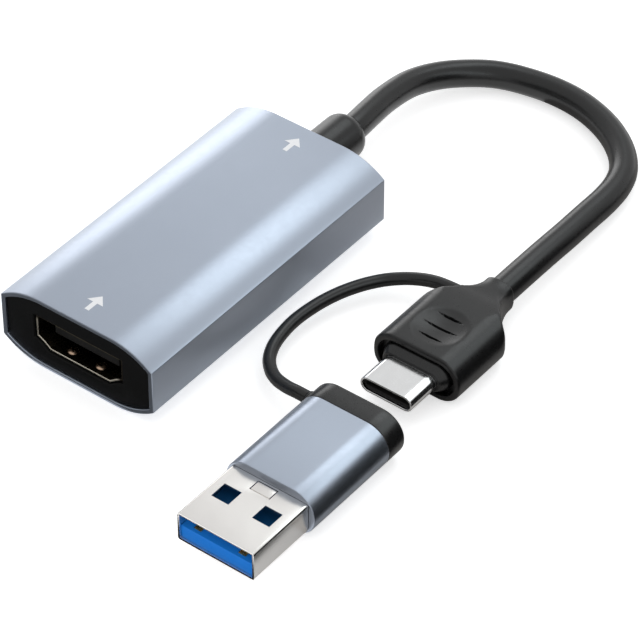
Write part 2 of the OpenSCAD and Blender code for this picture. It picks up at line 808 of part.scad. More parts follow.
// Moulded strain relief: a round boss outside, a neck through the plate and a flange inside
module cable_strain_relief() {
    boss_r = relief_d / 2;
    color(soft_black)
        translate([0, relief_y, box_axis_z])
            rotate([-90, 0, 0]) {
                difference() {
                    rotate_extrude()
                        intersection() {
                            square([boss_r, relief_l]);
                            union() {
                                square([boss_r, relief_l - relief_round]);
                                square([boss_r - relief_round, relief_l]);
                                translate([boss_r - relief_round, relief_l - relief_round])
                                    circle(relief_round);
                            }
                        }
                    translate([0, 0, relief_l - lead_seat])
                        cylinder(d = lead_bore_d, h = lead_seat + 1);
                }
                translate([0, 0, -plate_t - seat_gap])
                    cylinder(d = relief_neck_d, h = plate_t + seat_gap + 1);
                translate([0, 0, -plate_t - seat_gap - relief_flange_t])
                    cylinder(d = relief_flange_d, h = relief_flange_t);
            }
}

// Lead from the strain relief round to the plug
module main_cable() {
    color(soft_black)
        tube(lead_route, lead_d, lead_sides, [0, 1, 0], [0, -1, 0]);
}

// Depth of the dimple's floor at a distance from its middle
function grip_floor(d) = sqrt(grip_r * grip_r - d * d) - grip_r + grip_depth;

// A groove cut by a thin disc, so that its ends run out to nothing
module grip_groove(offset_y, length) {
    sag = groove_depth + length * length / (8 * grip_r);
    r = (length * length / 4 + sag * sag) / (2 * sag);
    translate([0, offset_y + groove_w / 2, r - groove_depth - grip_floor(offset_y)])
        rotate([90, 0, 0])
            cylinder(r = r, h = groove_w, $fn = 120);
}

// Soft overmould: a flat oval body that sweeps from all sides into a round neck, hollow for the core
module plug_overmould() {
    color(soft_black)
        on_plug_line()
            difference() {
                union() {
                    intersection() {
                        mirror([0, 1, 0])
                            profiled_oval(-plug_end_y, plug_w, plug_t)
                                rounded_edge(plug_t / 2, plug_l, rim_round);
                        linear_extrude(2 * plug_t, center = true)
                            polygon(plug_outline(plug_w / 2, neck_w / 2, plug_shoulder_y, shoulder_in_r,
                                                 shoulder_out_r));
                        rotate([0, 90, 0])
                            linear_extrude(2 * plug_w, center = true)
                                polygon(plug_outline(plug_t / 2, neck_t / 2, side_sweep_y, side_sweep_r,
                                                     side_sweep_r));
                        rotate([-90, 0, 0])
                            rotate_extrude()
                                polygon(concat([[0, plug_front_y]],
                                               plug_side(neck_start_r, neck_d / 2, neck_sweep_y,
                                                         shoulder_in_r, neck_sweep_r),
                                               [[0, plug_end_y + plug_l]]));
                    }
                    translate([-plug_stub_l, plug_front_y + plug_stub_y, 0])
                        rotate([0, 90, 0])
                            cylinder(d = stub_d, h = plug_stub_l);
                }
                along_y(plug_front_y - 1, plug_front_y + rim_depth)
                    oval(plug_w - 2 * rim_w, plug_t - 2 * rim_w);
                along_y(plug_front_y, core_rear_y + seat_gap)
                    oval(core_w + 2 * seat_gap, core_t + 2 * seat_gap);
                along_y(plug_end_y - lead_seat, plug_end_y + 1)
                    circle(d = lead_bore_d);
                translate([0, plug_front_y + grip_y, plug_t / 2]) {
                    translate([0, 0, grip_r - grip_depth])
                        sphere(grip_r, $fn = 180);
                    grip_groove(0, groove_l);
                    for (side = [-1, 1])
                        grip_groove(side * groove_gap, groove_l - groove_step);
                }
            }
}

// Hard core that carries the metal tip and the plug's board, sloped all round its front
module plug_core() {
    color(black_plastic)
        on_plug_line()
            difference() {
                mirror([0, 1, 0])
                    profiled_oval(-core_rear_y, core_w, core_t)
                        sloped_edge(core_t / 2, core_l, core_slope_l, (core_t - tip_t) / 2 - core_lip);
                along_y(core_front_y - 1, tip_rear_y)
                    oval(tip_w + 2 * seat_gap, tip_t + 2 * seat_gap);
                along_y(tip_rear_y - seat_gap, core_rear_y + 1)
                    square([plug_board_w + 2 * seat_gap, small_board_t + 2 * seat_gap], center = true);
            }
}

// Drawn metal tip of the reversible plug
module plug_shell() {
    color(nickel)
        on_plug_line()
            difference() {
                along_y(tip_front_y, tip_rear_y)
                    oval(tip_w, tip_t);
                along_y(tip_front_y - 1, tip_rear_y + 1)
                    oval(tip_bore_w, tip_bore_t);
            }
}

// Insulator inside the tip, with a slot for the socket's tongue
module plug_insulator() {
    color(chip_black)
        on_plug_line()
            difference() {
                along_y(tip_insulator_y, tip_rear_y)
                    oval(tip_bore_w - 2 * seat_gap, tip_bore_t - 2 * seat_gap);
                along_y(tip_insulator_y - 1, tip_slot_end_y)
                    square([tip_slot_w, tip_slot_h], center = true);
            }
}

// A row of thin contacts on the two faces of a slot or a tongue
module small_contacts(y0, y1, face, side) {
    for (row = [-1, 1], i = [0 : small_pins - 1])
        translate([(i - (small_pins - 1) / 2) * small_pitch, (y0 + y1) / 2,
                   row * (face + side * small_pin_t / 2)])
            cube([small_pin_w, y1 - y0, small_pin_t], center = true);
}

// Contacts of the reversible plug, on the slot's two faces
module plug_contacts() {
    color(gold)
        on_plug_line()
            small_contacts(tip_insulator_y + tip_pin_setback, tip_insulator_y + tip_pin_setback + tip_pin_l,
                           tip_slot_h / 2, -1);
}

// Spring arms at the slot's two ends
module plug_latch_arms() {
    color(nickel)
        on_plug_line()
            for (side = [-1, 1])
                translate([side * (tip_slot_w - latch_t) / 2, tip_slot_end_y - latch_l / 2, 0])
                    cube([latch_t, latch_l, latch_h], center = true);
}

// Small board behind the tip
module plug_board() {
    color(board_green)
        on_plug_line()
            translate([-plug_board_w / 2, tip_rear_y, -small_board_t / 2])
                cube([plug_board_w, core_rear_y - tip_rear_y - seat_gap, small_board_t]);
}

// Rubber tether from the plug to the adapter's cap
module tether() {
    color(soft_black)
        tube(tether_route, tether_d, tether_sides, [-1, 0, 0], [1, 0, 0]);
}

// Aluminium sleeve of the adapter, with an end wall round the wide plug
module adapter_sleeve() {
    color(aluminium)
        on_plug_line()
            difference() {
                along_y(adapter_front_y, cap_seam_y)
                    oval(plug_w, plug_t);
                along_y(adapter_front_y + adapter_end_t, cap_seam_y + 1)
                    oval(adapter_bore_w, adapter_bore_t);
                along_y(adapter_front_y - 1, wide_rear_y)
                    rounded(wide_w + 2 * seat_gap, wide_t + 2 * seat_gap, wide_seat_r + seat_gap);
            }
}

// Black cap of the adapter, with a spigot in the sleeve and the mouth of the socket
module adapter_cap() {
    color(soft_black)
        on_plug_line()
            difference() {
                union() {
                    profiled_oval(cap_seam_y, plug_w, plug_t)
                        rounded_edge(plug_t / 2, cap_l, cap_round);
                    along_y(spigot_y, cap_seam_y)
                        oval(adapter_bore_w - 2 * seat_gap, adapter_bore_t - 2 * seat_gap);
                    translate([-plug_w / 2 - cap_stub_l, cap_face_y - cap_stub_y, 0])
                        rotate([0, 90, 0])
                            cylinder(d = stub_d, h = plug_t / 2);
                }
                along_y(spigot_y - 1, cap_face_y + 1)
                    oval(adapter_socket_w + 2 * (adapter_socket_wall + seat_gap),
                         adapter_socket_t + 2 * (adapter_socket_wall + seat_gap));
            }
}

// Moulded core inside the sleeve: it holds the wide plug, the board and the socket's rear end
module adapter_core() {
    color(black_plastic)
        on_plug_line()
            difference() {
                along_y(adapter_front_y + adapter_end_t + seat_gap, spigot_y - seat_gap)
                    oval(adapter_bore_w - 2 * seat_gap, adapter_bore_t - 2 * seat_gap);
                along_y(adapter_front_y - 1, wide_rear_y + seat_gap)
                    rounded(wide_w + 2 * seat_gap, wide_t + 2 * seat_gap, wide_seat_r + seat_gap);
                along_y(wide_rear_y - 1, adapter_socket_rear_y + 1)
                    square([adapter_board_w + 2 * seat_gap, small_board_t + 2 * seat_gap], center = true);
                along_y(adapter_socket_rear_y - seat_gap, cap_seam_y)
                    oval(adapter_socket_w + 2 * (adapter_socket_wall + seat_gap),
                         adapter_socket_t + 2 * (adapter_socket_wall + seat_gap));
            }
}

// Board between the wide plug and the socket
module adapter_board() {
    color(board_green)
        on_plug_line()
            translate([-adapter_board_w / 2, wide_rear_y + seat_gap, -small_board_t / 2])
                cube([adapter_board_w, adapter_socket_rear_y - wide_rear_y - 2 * seat_gap, small_board_t]);
}

// Metal shell of the socket in the cap
module adapter_socket_shell() {
    color(nickel)
        on_plug_line()
            difference() {
                along_y(adapter_socket_rear_y, adapter_socket_y)
                    oval(adapter_socket_w + 2 * adapter_socket_wall,
                         adapter_socket_t + 2 * adapter_socket_wall);
                along_y(adapter_socket_rear_y - 1, adapter_socket_y + 1)
                    oval(adapter_socket_w, adapter_socket_t);
            }
}

// Block and thin tongue of that socket
module adapter_socket_tongue() {
    color(chip_black)
        on_plug_line() {
            along_y(adapter_socket_rear_y, adapter_block_y)
                oval(adapter_socket_w - 2 * seat_gap, adapter_socket_t - 2 * seat_gap);
            along_y(adapter_block_y, adapter_tongue_y)
                square([adapter_tongue_w, adapter_tongue_t], center = true);
        }
}

// Contacts on the tongue's two faces
module adapter_socket_contacts() {
    color(gold)
        on_plug_line()
            small_contacts(adapter_tongue_y - adapter_pin_setback - adapter_pin_l,
                           adapter_tongue_y - adapter_pin_setback, adapter_tongue_t / 2, 1);
}

// Places of the four windows, two above and two below
module at_windows() {
    for (x = [-1, 1])
        translate([x * window_gap / 2, wide_front_y + window_y, 0])
            children();
}

// The wide plug's outer form drawn inwards by inset, with rounder corners where it sits in the sleeve
module wide_form(y0, y1, inset) {
    w = wide_w - 2 * inset;
    t = wide_t - 2 * inset;
    along_y(y0, wide_seat_y)
        rounded(w, t, max(wide_r - inset, seat_gap));
    along_y(wide_seat_y, y1)
        rounded(w, t, wide_seat_r - inset);
}

// Folded steel shell of the wide plug, with its windows and stamped tab
module wide_plug_shell() {
    color(nickel)
        on_plug_line()
            difference() {
                wide_form(wide_front_y, wide_rear_y, 0);
                wide_form(wide_front_y - 1, wide_rear_y + 1, wide_wall);
                at_windows()
                    cube([window_w, window_w, 2 * wide_t], center = true);
                translate([0, wide_front_y + tab_y, wide_t / 2])
                    difference() {
                        cube([tab_w + 2 * tab_cut, tab_l + tab_cut, 3 * wide_wall], center = true);
                        translate([0, -tab_cut, 0])
                            cube([tab_w, tab_l + tab_cut, 3 * wide_wall], center = true);
                    }
                translate([0, wide_front_y + tab_y - (tab_l + tab_cut) / 2, wide_t / 2])
                    cube([tab_w + 2 * tab_cut, tab_cut, wide_wall], center = true);
            }
}

// Coloured tongue of the wide plug, with the block that fills the shell's rear
module wide_plug_tongue() {
    color([0.12, 0.42, 0.8])
        on_plug_line()
            difference() {
                wide_form(wide_tongue_y, wide_rear_y, wide_wall + seat_gap);
                along_y(wide_front_y, adapter_front_y)
                    translate([-wide_w / 2, wide_tongue_t - wide_bore_t / 2])
                        square([wide_w, wide_t]);
            }
}

// A contact strip that lies on the tongue between two places
module tongue_strip(x, y0, y1, w) {
    translate([plug_x + x - w / 2, y0, wide_floor_z + wide_tongue_t])
        cube([w, y1 - y0, wide_pin_t]);
}

// Four front contacts of the wide plug
module wide_plug_contacts() {
    start = wide_tongue_y + wide_pin_setback;
    color(gold)
        for (side = [-1, 1]) {
            tongue_strip(side * outer_pin_x, start, start + wide_pin_l, wide_pin_w);
            tongue_strip(side * inner_pin_x, start + inner_pin_step, start + wide_pin_l, wide_pin_w);
        }
}

// Five rear contacts of the wide plug
module wide_plug_rear_contacts() {
    start = wide_front_y + rear_pin_y;
    color(gold)
        for (i = [0 : rear_pin_count - 1])
            tongue_strip((i - (rear_pin_count - 1) / 2) * rear_pin_pitch, start, start + rear_pin_l,
                         rear_pin_w);
}

housing_sleeve();
front_end_plate();
rear_end_plate();
video_socket_shell();
video_socket_insulator();
video_socket_contacts();
main_board();
capture_chip();
memory_chip();
firmware_chip();
clock_crystal();
power_inductors();
ceramic_capacitors();
chip_resistors();
cable_wires();
cable_strain_relief();
main_cable();
plug_overmould();
plug_core();
plug_shell();
plug_insulator();
plug_contacts();
plug_latch_arms();
plug_board();
tether();
adapter_sleeve();
adapter_cap();
adapter_core();
adapter_board();
adapter_socket_shell();
adapter_socket_tongue();
adapter_socket_contacts();
wide_plug_shell();
wide_plug_tongue();
wide_plug_contacts();
wide_plug_rear_contacts();
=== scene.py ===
import math

import bmesh
import bpy
import numpy as np
from mathutils import Matrix, Vector


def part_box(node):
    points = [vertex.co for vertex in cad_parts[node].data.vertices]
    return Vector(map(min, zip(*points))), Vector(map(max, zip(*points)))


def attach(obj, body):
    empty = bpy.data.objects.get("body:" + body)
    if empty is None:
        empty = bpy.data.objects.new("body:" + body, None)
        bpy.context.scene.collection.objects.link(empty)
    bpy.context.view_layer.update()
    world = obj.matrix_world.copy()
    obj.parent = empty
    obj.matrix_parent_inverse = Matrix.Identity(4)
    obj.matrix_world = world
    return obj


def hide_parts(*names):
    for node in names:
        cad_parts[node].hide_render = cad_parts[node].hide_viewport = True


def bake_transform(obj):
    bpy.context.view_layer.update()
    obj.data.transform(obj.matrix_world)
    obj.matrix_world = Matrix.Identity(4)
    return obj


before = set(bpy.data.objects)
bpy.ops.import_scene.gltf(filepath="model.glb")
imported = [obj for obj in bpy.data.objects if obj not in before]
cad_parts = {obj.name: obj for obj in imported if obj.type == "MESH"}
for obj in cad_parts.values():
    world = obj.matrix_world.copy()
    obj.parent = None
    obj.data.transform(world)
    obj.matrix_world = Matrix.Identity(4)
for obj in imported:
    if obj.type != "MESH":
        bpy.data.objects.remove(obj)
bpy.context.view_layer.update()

# A video capture box with a fixed lead, a small reversible plug and a tethered adapter with a wide plug.
# Sizes and places are in millimetres, in the part's own frame, and become metres where an object is made.

MM = 0.001
BOX, ADAPTER = "capture_box", "adapter"


def box_mm(node):
    """Lowest and highest corner of a CAD node, in millimetres."""
    low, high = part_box(node)
    return low / MM, high / MM


def metres(point):
    return tuple(c * MM for c in point)


# Camera
CAMERA_AIM = (16.81, 4.94, 0)
CAMERA_AZIMUTH = 37.687
CAMERA_ELEVATION = 41.401
CAMERA_DISTANCE = 486.3
CAMERA_LENS = 207.02


def direction(azimuth, elevation):
    """Unit vector from the object, where azimuth 0 is the front and 90 the right-hand side."""
    a, e = math.radians(azimuth), math.radians(elevation)
    return Vector((math.sin(a) * math.cos(e), -math.cos(a) * math.cos(e), math.sin(e)))


def aim(obj, place, target):
    """Puts a camera, lamp or panel at a place, facing a target, both in millimetres."""
    place, target = Vector(place), Vector(target)
    obj.location = place * MM
    obj.rotation_mode = "QUATERNION"
    obj.rotation_quaternion = (target - place).to_track_quat("-Z", "Y")
    bpy.context.scene.collection.objects.link(obj)


def make_camera():
    camera = bpy.data.objects.new("camera", bpy.data.cameras.new("camera"))
    back = direction(CAMERA_AZIMUTH, CAMERA_ELEVATION)
    aim(camera, Vector(CAMERA_AIM) + back * CAMERA_DISTANCE, CAMERA_AIM)
    camera.data.lens = CAMERA_LENS
    camera.data.clip_start = 0.01
    bpy.context.scene.camera = camera


make_camera()


# Materials: procedural, with grain in millimetres in the part's own frame
shell_low, shell_high = box_mm("video_socket_shell")
socket_mouth, socket_top = shell_low.y, shell_high.z
socket_right = shell_high.x
socket_floor = box_mm("video_socket_insulator")[0].z
# Painted highlight on the socket shell's cut edge, faded out as painted shade at the top and the right
SOCKET_EDGE_HIGHLIGHT_Y = (socket_mouth + 0.02, socket_mouth + 0.12)
SOCKET_EDGE_SHADE_X = (socket_right - 1.2, socket_right - 0.5)
SOCKET_EDGE_SHADE_Z = (socket_top - 0.9, socket_top - 0.4)
DIMPLES = [(x, socket_mouth + 1.5, socket_floor) for x in (-2.4, 2.4)]
# Painted highlight ring round each dimple, and painted shade in its hollow
DIMPLE_HIGHLIGHT_REACH = (0.85, 0.65)
DIMPLE_SHADE_HOLLOW = (0.4, 0.25)
socket_tongue_front = box_mm("video_socket_insulator")[0].y
# Band high on the socket tongue's front face that is painted pale as a highlight
SOCKET_TONGUE_LIT_Y = (socket_tongue_front + 0.12, socket_tongue_front + 0.2)
SOCKET_TONGUE_LIT_Z = (socket_top - 2.12, socket_top - 2.04)
wide_tongue_front = box_mm("wide_plug_tongue")[0].y
# Depths in the wide plug past which the tongue's blue is darkened as painted shade
WIDE_TONGUE_SHADE_DEPTHS = (wide_tongue_front + 1.6, wide_tongue_front + 3.2)


class Shader:
    """A Principled material and short ways to add texture nodes to it."""

    def __init__(self, name, **sockets):
        self.material = bpy.data.materials.new(name)
        self.material.use_nodes = True
        self.nodes = self.material.node_tree.nodes
        self.principled = self.nodes["Principled BSDF"]
        for key, value in sockets.items():
            self.principled.inputs[key.replace("_", " ")].default_value = value
        self.place = self.nodes.new("ShaderNodeTexCoord").outputs["Object"]

    def link(self, source, target):
        self.material.node_tree.links.new(source, target)

    def noise(self, size, detail=3.0, stretch=(1, 1, 1)):
        """Noise whose features are about size millimetres across, drawn out by stretch."""
        mapping = self.nodes.new("ShaderNodeMapping")
        mapping.inputs["Scale"].default_value = [1 / s for s in stretch]
        self.link(self.place, mapping.inputs["Vector"])
        noise = self.nodes.new("ShaderNodeTexNoise")
        noise.inputs["Scale"].default_value = 1 / (size * MM)
        noise.inputs["Detail"].default_value = detail
        self.link(mapping.outputs["Vector"], noise.inputs["Vector"])
        return noise.outputs["Fac"]

    def spread(self, source, low, high, start=0.3, end=0.7):
        """A texture's middle range spread between two values."""
        node = self.nodes.new("ShaderNodeMapRange")
        node.inputs["From Min"].default_value = start
        node.inputs["From Max"].default_value = end
        node.inputs["To Min"].default_value = low
        node.inputs["To Max"].default_value = high
        self.link(source, node.inputs["Value"])
        return node.outputs["Result"]

    def mix(self, factor, first, second):
        """A colour between two, by a texture. Each is a colour or a socket."""
        node = self.nodes.new("ShaderNodeMix")
        node.data_type = "RGBA"
        self.link(factor, node.inputs[0])
        for socket, colour in ((node.inputs[6], first), (node.inputs[7], second)):
            if isinstance(colour, bpy.types.NodeSocket):
                self.link(colour, socket)
            else:
                socket.default_value = (*colour, 1)
        return node.outputs[2]

    def colour(self, source):
        self.link(source, self.principled.inputs["Base Color"])

    def roughness(self, source):
        self.link(source, self.principled.inputs["Roughness"])

    def bump(self, *layers):
        """Relief from (texture, depth in millimetres) layers."""
        normal = None
        for source, depth in layers:
            node = self.nodes.new("ShaderNodeBump")
            node.inputs["Distance"].default_value = depth * MM
            self.link(source, node.inputs["Height"])
            if normal is not None:
                self.link(normal, node.inputs["Normal"])
            normal = node.outputs["Normal"]
        self.link(normal, self.principled.inputs["Normal"])

    def along(self, axis, start, end):
        """Rises from 0 to 1 between two places on an axis, in millimetres."""
        split = self.nodes.new("ShaderNodeSeparateXYZ")
        self.link(self.place, split.inputs["Vector"])
        return self.spread(split.outputs[axis], 0, 1, start * MM, end * MM)

    def near(self, place, start, end):
        """Rises from 0 to 1 between two distances from a place, in millimetres."""
        away = self.nodes.new("ShaderNodeVectorMath")
        away.operation = "DISTANCE"
        self.link(self.place, away.inputs[0])
        away.inputs[1].default_value = metres(place)
        return self.spread(away.outputs["Value"], 0, 1, start * MM, end * MM)


def anodised_aluminium():
    """Bead-blasted, blue-grey anodised aluminium."""
    s = Shader("anodised_aluminium", Metallic=1.0)
    s.colour(s.mix(s.noise(9, 2), (0.37, 0.412, 0.485), (0.39, 0.432, 0.505)))
    s.roughness(s.spread(s.noise(0.6, 4), 0.32, 0.37))
    s.bump((s.noise(0.09, 2), 0.0006))
    return s.material


def moulded_black():
    """Hard black plastic with a fine spark-eroded grain."""
    s = Shader("moulded_black", Specular_IOR_Level=0.15)
    s.colour(s.mix(s.noise(0.5, 3), (0.0025, 0.0025, 0.0026), (0.0045, 0.0045, 0.0046)))
    s.roughness(s.spread(s.noise(0.35, 3), 0.42, 0.52))
    s.bump((s.noise(0.12, 2), 0.004))
    return s.material


def soft_black():
    """Matt black PVC of the lead and the mouldings on it."""
    s = Shader("soft_black", Specular_IOR_Level=0.45)
    s.colour(s.mix(s.noise(1.2, 4), (0.0035, 0.0035, 0.0036), (0.0065, 0.0065, 0.0066)))
    s.roughness(s.spread(s.noise(0.5, 4), 0.27, 0.34))
    s.bump((s.noise(0.15, 2), 0.002), (s.noise(2.5, 2), 0.006))
    return s.material


def cap_plastic():
    """Dark grey plastic of the adapter's cap."""
    s = Shader("cap_plastic", Specular_IOR_Level=0.5)
    s.colour(s.mix(s.noise(0.8, 3), (0.004, 0.004, 0.0041), (0.007, 0.007, 0.0071)))
    s.roughness(s.spread(s.noise(0.4, 3), 0.26, 0.34))
    s.bump((s.noise(0.14, 2), 0.002))
    return s.material


def plated_steel(name, tint, roughness, scuff, relief=0.0006):
    """Nickel-plated sheet steel with faint scuffs along the way it is plugged in."""
    s = Shader(name, Metallic=1.0)
    dull = [0.93 * c for c in tint]
    s.colour(s.mix(s.noise(2.5, 3), tint, dull))
    scuffs = s.noise(0.14, 3, (1, 18, 1))
    s.roughness(s.spread(scuffs, roughness, roughness + scuff, 0.35, 0.75))
    s.bump((scuffs, relief), (s.noise(0.08, 2), relief / 2))
    return s.material


def socket_steel():
    """Brownish steel shell of the video socket, darkened as painted shade of its deep recess, with a painted
    highlight on its cut edge low and left that fades out as painted shade at the top and right, and a painted
    highlight round each dimple with painted shade in its hollow.
    """
    s = Shader("socket_steel", Metallic=1.0)
    # The dark inside colour is painted shade of the socket's recess
    inside = s.mix(s.noise(1.5, 3), (0.05, 0.042, 0.03), (0.08, 0.067, 0.05))
    # Each dimple gets a painted highlight ring, with painted shade in its hollow
    for dimple in DIMPLES:
        inside = s.mix(s.near(dimple, *DIMPLE_HIGHLIGHT_REACH), inside, (0.6, 0.42, 0.3))
        inside = s.mix(s.near(dimple, *DIMPLE_SHADE_HOLLOW), inside, (0.05, 0.03, 0.02))
    # Painted highlight on the cut edge, faded back to the inside colour as painted shade at the top and right
    edge = s.mix(s.along("Z", *SOCKET_EDGE_SHADE_Z), (0.95, 0.88, 0.74), inside)
    edge = s.mix(s.along("X", *SOCKET_EDGE_SHADE_X), edge, inside)
    s.colour(s.mix(s.along("Y", *SOCKET_EDGE_HIGHLIGHT_Y), edge, inside))
    s.roughness(s.spread(s.noise(0.5, 3), 0.24, 0.36))
    s.bump((s.noise(0.3, 2), 0.002))
    return s.material


def contact_gold():
    """Gold flash on the contacts."""
    s = Shader("contact_gold", Metallic=1.0)
    s.colour(s.mix(s.noise(0.5, 3), (0.85, 0.62, 0.25), (0.75, 0.5, 0.17)))
    s.roughness(s.spread(s.noise(0.2, 3), 0.2, 0.36))
    s.bump((s.noise(0.06, 2, (1, 10, 1)), 0.0008))
    return s.material


def insulator_black(name, painted_light_edge=None):
    """Glass-filled black plastic inside the connectors, with a pale painted highlight high on the front face
    if a band is given.
    """
    s = Shader(name, Specular_IOR_Level=0.35)
    colour = s.mix(s.noise(0.25, 4), (0.006, 0.006, 0.006), (0.012, 0.0115, 0.011))
    if painted_light_edge:
        # Painted highlight: the front face is pale above a height, as if light fell on it
        lit_band = s.mix(s.along("Z", *painted_light_edge[0]), colour, (0.2, 0.17, 0.09))
        colour = s.mix(s.along("Y", *painted_light_edge[1]), lit_band, colour)
    s.colour(colour)
    s.roughness(s.spread(s.noise(0.2, 3), 0.5, 0.62))
    s.bump((s.noise(0.08, 2), 0.003))
    return s.material


def blue_plastic():
    """Saturated blue plastic of the wide plug's tongue, darker deeper inside the shell as painted shade."""
    s = Shader("blue_plastic", Specular_IOR_Level=0.2)
    front = s.mix(s.noise(0.9, 3), (0.006, 0.2, 0.74), (0.01, 0.23, 0.8))
    # Painted shade: the blue darkens deeper inside the plug's shell
    s.colour(s.mix(s.along("Y", *WIDE_TONGUE_SHADE_DEPTHS), front, (0.004, 0.07, 0.2)))
    s.roughness(s.spread(s.noise(0.4, 3), 0.36, 0.48))
    s.bump((s.noise(0.12, 2), 0.003))
    return s.material


def board_green():
    """Green solder mask over faint copper tracks."""
    s = Shader("board_green", Coat_Weight=0.4)
    tracks = s.nodes.new("ShaderNodeTexBrick")
    tracks.inputs["Scale"].default_value = 1 / (1.4 * MM)
    tracks.inputs["Mortar Size"].default_value = 0.06
    s.link(s.place, tracks.inputs["Vector"])
    mask = s.mix(s.noise(1.5, 3), (0.006, 0.07, 0.035), (0.01, 0.1, 0.05))
    s.colour(s.mix(tracks.outputs["Fac"], mask, (0.03, 0.2, 0.1)))
    s.roughness(s.spread(s.noise(0.3, 3), 0.3, 0.45))
    s.bump((tracks.outputs["Fac"], 0.01))
    return s.material


def chip_epoxy():
    """Dark mould compound of the chips."""
    s = Shader("chip_epoxy", Specular_IOR_Level=0.3)
    s.colour(s.mix(s.noise(0.15, 4), (0.011, 0.011, 0.012), (0.021, 0.021, 0.022)))
    s.roughness(s.spread(s.noise(0.1, 3), 0.55, 0.7))
    s.bump((s.noise(0.06, 3), 0.004))
    return s.material


def crystal_can():
    """Drawn nickel-silver can."""
    s = Shader("crystal_can", Metallic=1.0)
    s.colour(s.mix(s.noise(0.6, 3), (0.68, 0.66, 0.62), (0.6, 0.58, 0.54)))
    s.roughness(s.spread(s.noise(0.12, 3, (8, 1, 1)), 0.25, 0.4))
    s.bump((s.noise(0.1, 2), 0.001))
    return s.material


def ceramic():
    """Fired ceramic of the chip capacitors."""
    s = Shader("ceramic", Specular_IOR_Level=0.4)
    s.colour(s.mix(s.noise(0.2, 4), (0.33, 0.22, 0.12), (0.42, 0.29, 0.17)))
    s.roughness(s.spread(s.noise(0.15, 3), 0.45, 0.6))
    s.bump((s.noise(0.05, 3), 0.003))
    return s.material


def wire_insulation():
    """Red PVC of the inner wires."""
    s = Shader("wire_insulation", Specular_IOR_Level=0.45)
    s.colour(s.mix(s.noise(0.8, 3), (0.4, 0.02, 0.012), (0.5, 0.035, 0.02)))
    s.roughness(s.spread(s.noise(0.3, 3), 0.35, 0.5))
    s.bump((s.noise(0.2, 2), 0.004))
    return s.material


def printed_ink():
    """White pad-printed ink, thin in places."""
    s = Shader("printed_ink", Specular_IOR_Level=0.3)
    s.colour(s.mix(s.noise(0.12, 4), (0.78, 0.79, 0.81), (0.9, 0.9, 0.91)))
    s.roughness(s.spread(s.noise(0.1, 3), 0.5, 0.65))
    s.bump((s.noise(0.07, 3), 0.001))
    return s.material


ALUMINIUM = anodised_aluminium()
HARD_BLACK = moulded_black()
SOFT_BLACK = soft_black()
CAP_GREY = cap_plastic()
SOCKET_STEEL = socket_steel()
ADAPTER_STEEL = plated_steel("adapter_steel", (0.6, 0.58, 0.55), 0.22, 0.08)
TIP_NICKEL = plated_steel("tip_nickel", (0.82, 0.82, 0.82), 0.12, 0.06)
WIDE_STEEL = plated_steel("wide_steel", (0.84, 0.815, 0.79), 0.24, 0.03, 0.0002)
GOLD = contact_gold()
INSULATOR = insulator_black("insulator_black")
SOCKET_INSULATOR = insulator_black("socket_insulator", (SOCKET_TONGUE_LIT_Z, SOCKET_TONGUE_LIT_Y))
BLUE = blue_plastic()
BOARD = board_green()
EPOXY = chip_epoxy()
CAN = crystal_can()
CERAMIC = ceramic()
WIRE = wire_insulation()
INK = printed_ink()


# Mesh pieces
SMOOTH_ANGLE = 35
SEAT_GAP = 0.05
BORE_DEPTH = 1.5


def piece(name, points, faces, material, slot, body=None, replaces=(), crease=SMOOTH_ANGLE):
    """A mesh object from points in millimetres. It rides on a body, if one is given."""
    mesh = bpy.data.meshes.new(name)
    mesh.from_pydata([metres(p) for p in points], [], faces)
    work = bmesh.new()
    work.from_mesh(mesh)
    bmesh.ops.recalc_face_normals(work, faces=work.faces)
    work.to_mesh(mesh)
    work.free()
    mesh.shade_smooth()
    mesh.set_sharp_from_angle(angle=math.radians(crease))
    mesh.materials.append(material)
    obj = bpy.data.objects.new(name, mesh)
    bpy.context.scene.collection.objects.link(obj)
    if body:
        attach(obj, body)
    if replaces:
        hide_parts(*replaces)
    return obj


def loft(rings, closed=False):
    """Points and faces of a skin over rings of equal count, joined into a loop or capped at both ends."""
    count = len(rings[0])
    points = [p for ring in rings for p in ring]
    spans = [(i, i + 1) for i in range(len(rings) - 1)]
    if closed:
        spans.append((len(rings) - 1, 0))
    faces = []
    for a, b in spans:
        for k in range(count):
            n = (k + 1) % count
            faces.append((a * count + k, a * count + n, b * count + n, b * count + k))
    if not closed:
        faces.append(tuple(range(count)))
        faces.append(tuple(len(points) - count + k for k in range(count)))
    return points, faces


def circle(count):
    """Angles evenly round a circle."""
    return [2 * math.pi * k / count for k in range(count)]


def quarter_round(radius, steps=4):
    """(inset, setback) of points round an edge, from the side to the end face."""
    angles = [math.pi / 2 * k / steps for k in range(steps + 1)]
    return [(radius * (1 - math.cos(a)), radius * (1 - math.sin(a))) for a in angles]


def rim(place, end, way, radius, inwards=1, start=0):
    """Rings over the edge at an end face, whose outward way along Y is 1 or -1."""
    return [place(end - way * back, start + inwards * inset) for inset, back in quarter_round(radius)]


def tube_loop(place, wall, y0, y1, radius):
    """Closed loop of rings round an open-ended tube with rounded rims."""
    return (rim(place, y1, 1, radius) + rim(place, y1, 1, radius, -1, wall)[::-1]
            + rim(place, y0, -1, radius, -1, wall) + rim(place, y0, -1, radius)[::-1])


def mirrored_ring(quarter):
    """A closed outline from its upper right quarter, which runs from the top to the right."""
    lower = [(x, -z) for x, z in reversed(quarter)]
    right = quarter + [p for p in lower if p != quarter[-1]]
    left = [(-x, z) for x, z in reversed(right)]
    return right + [p for p in left if abs(p[0]) > 1e-9]


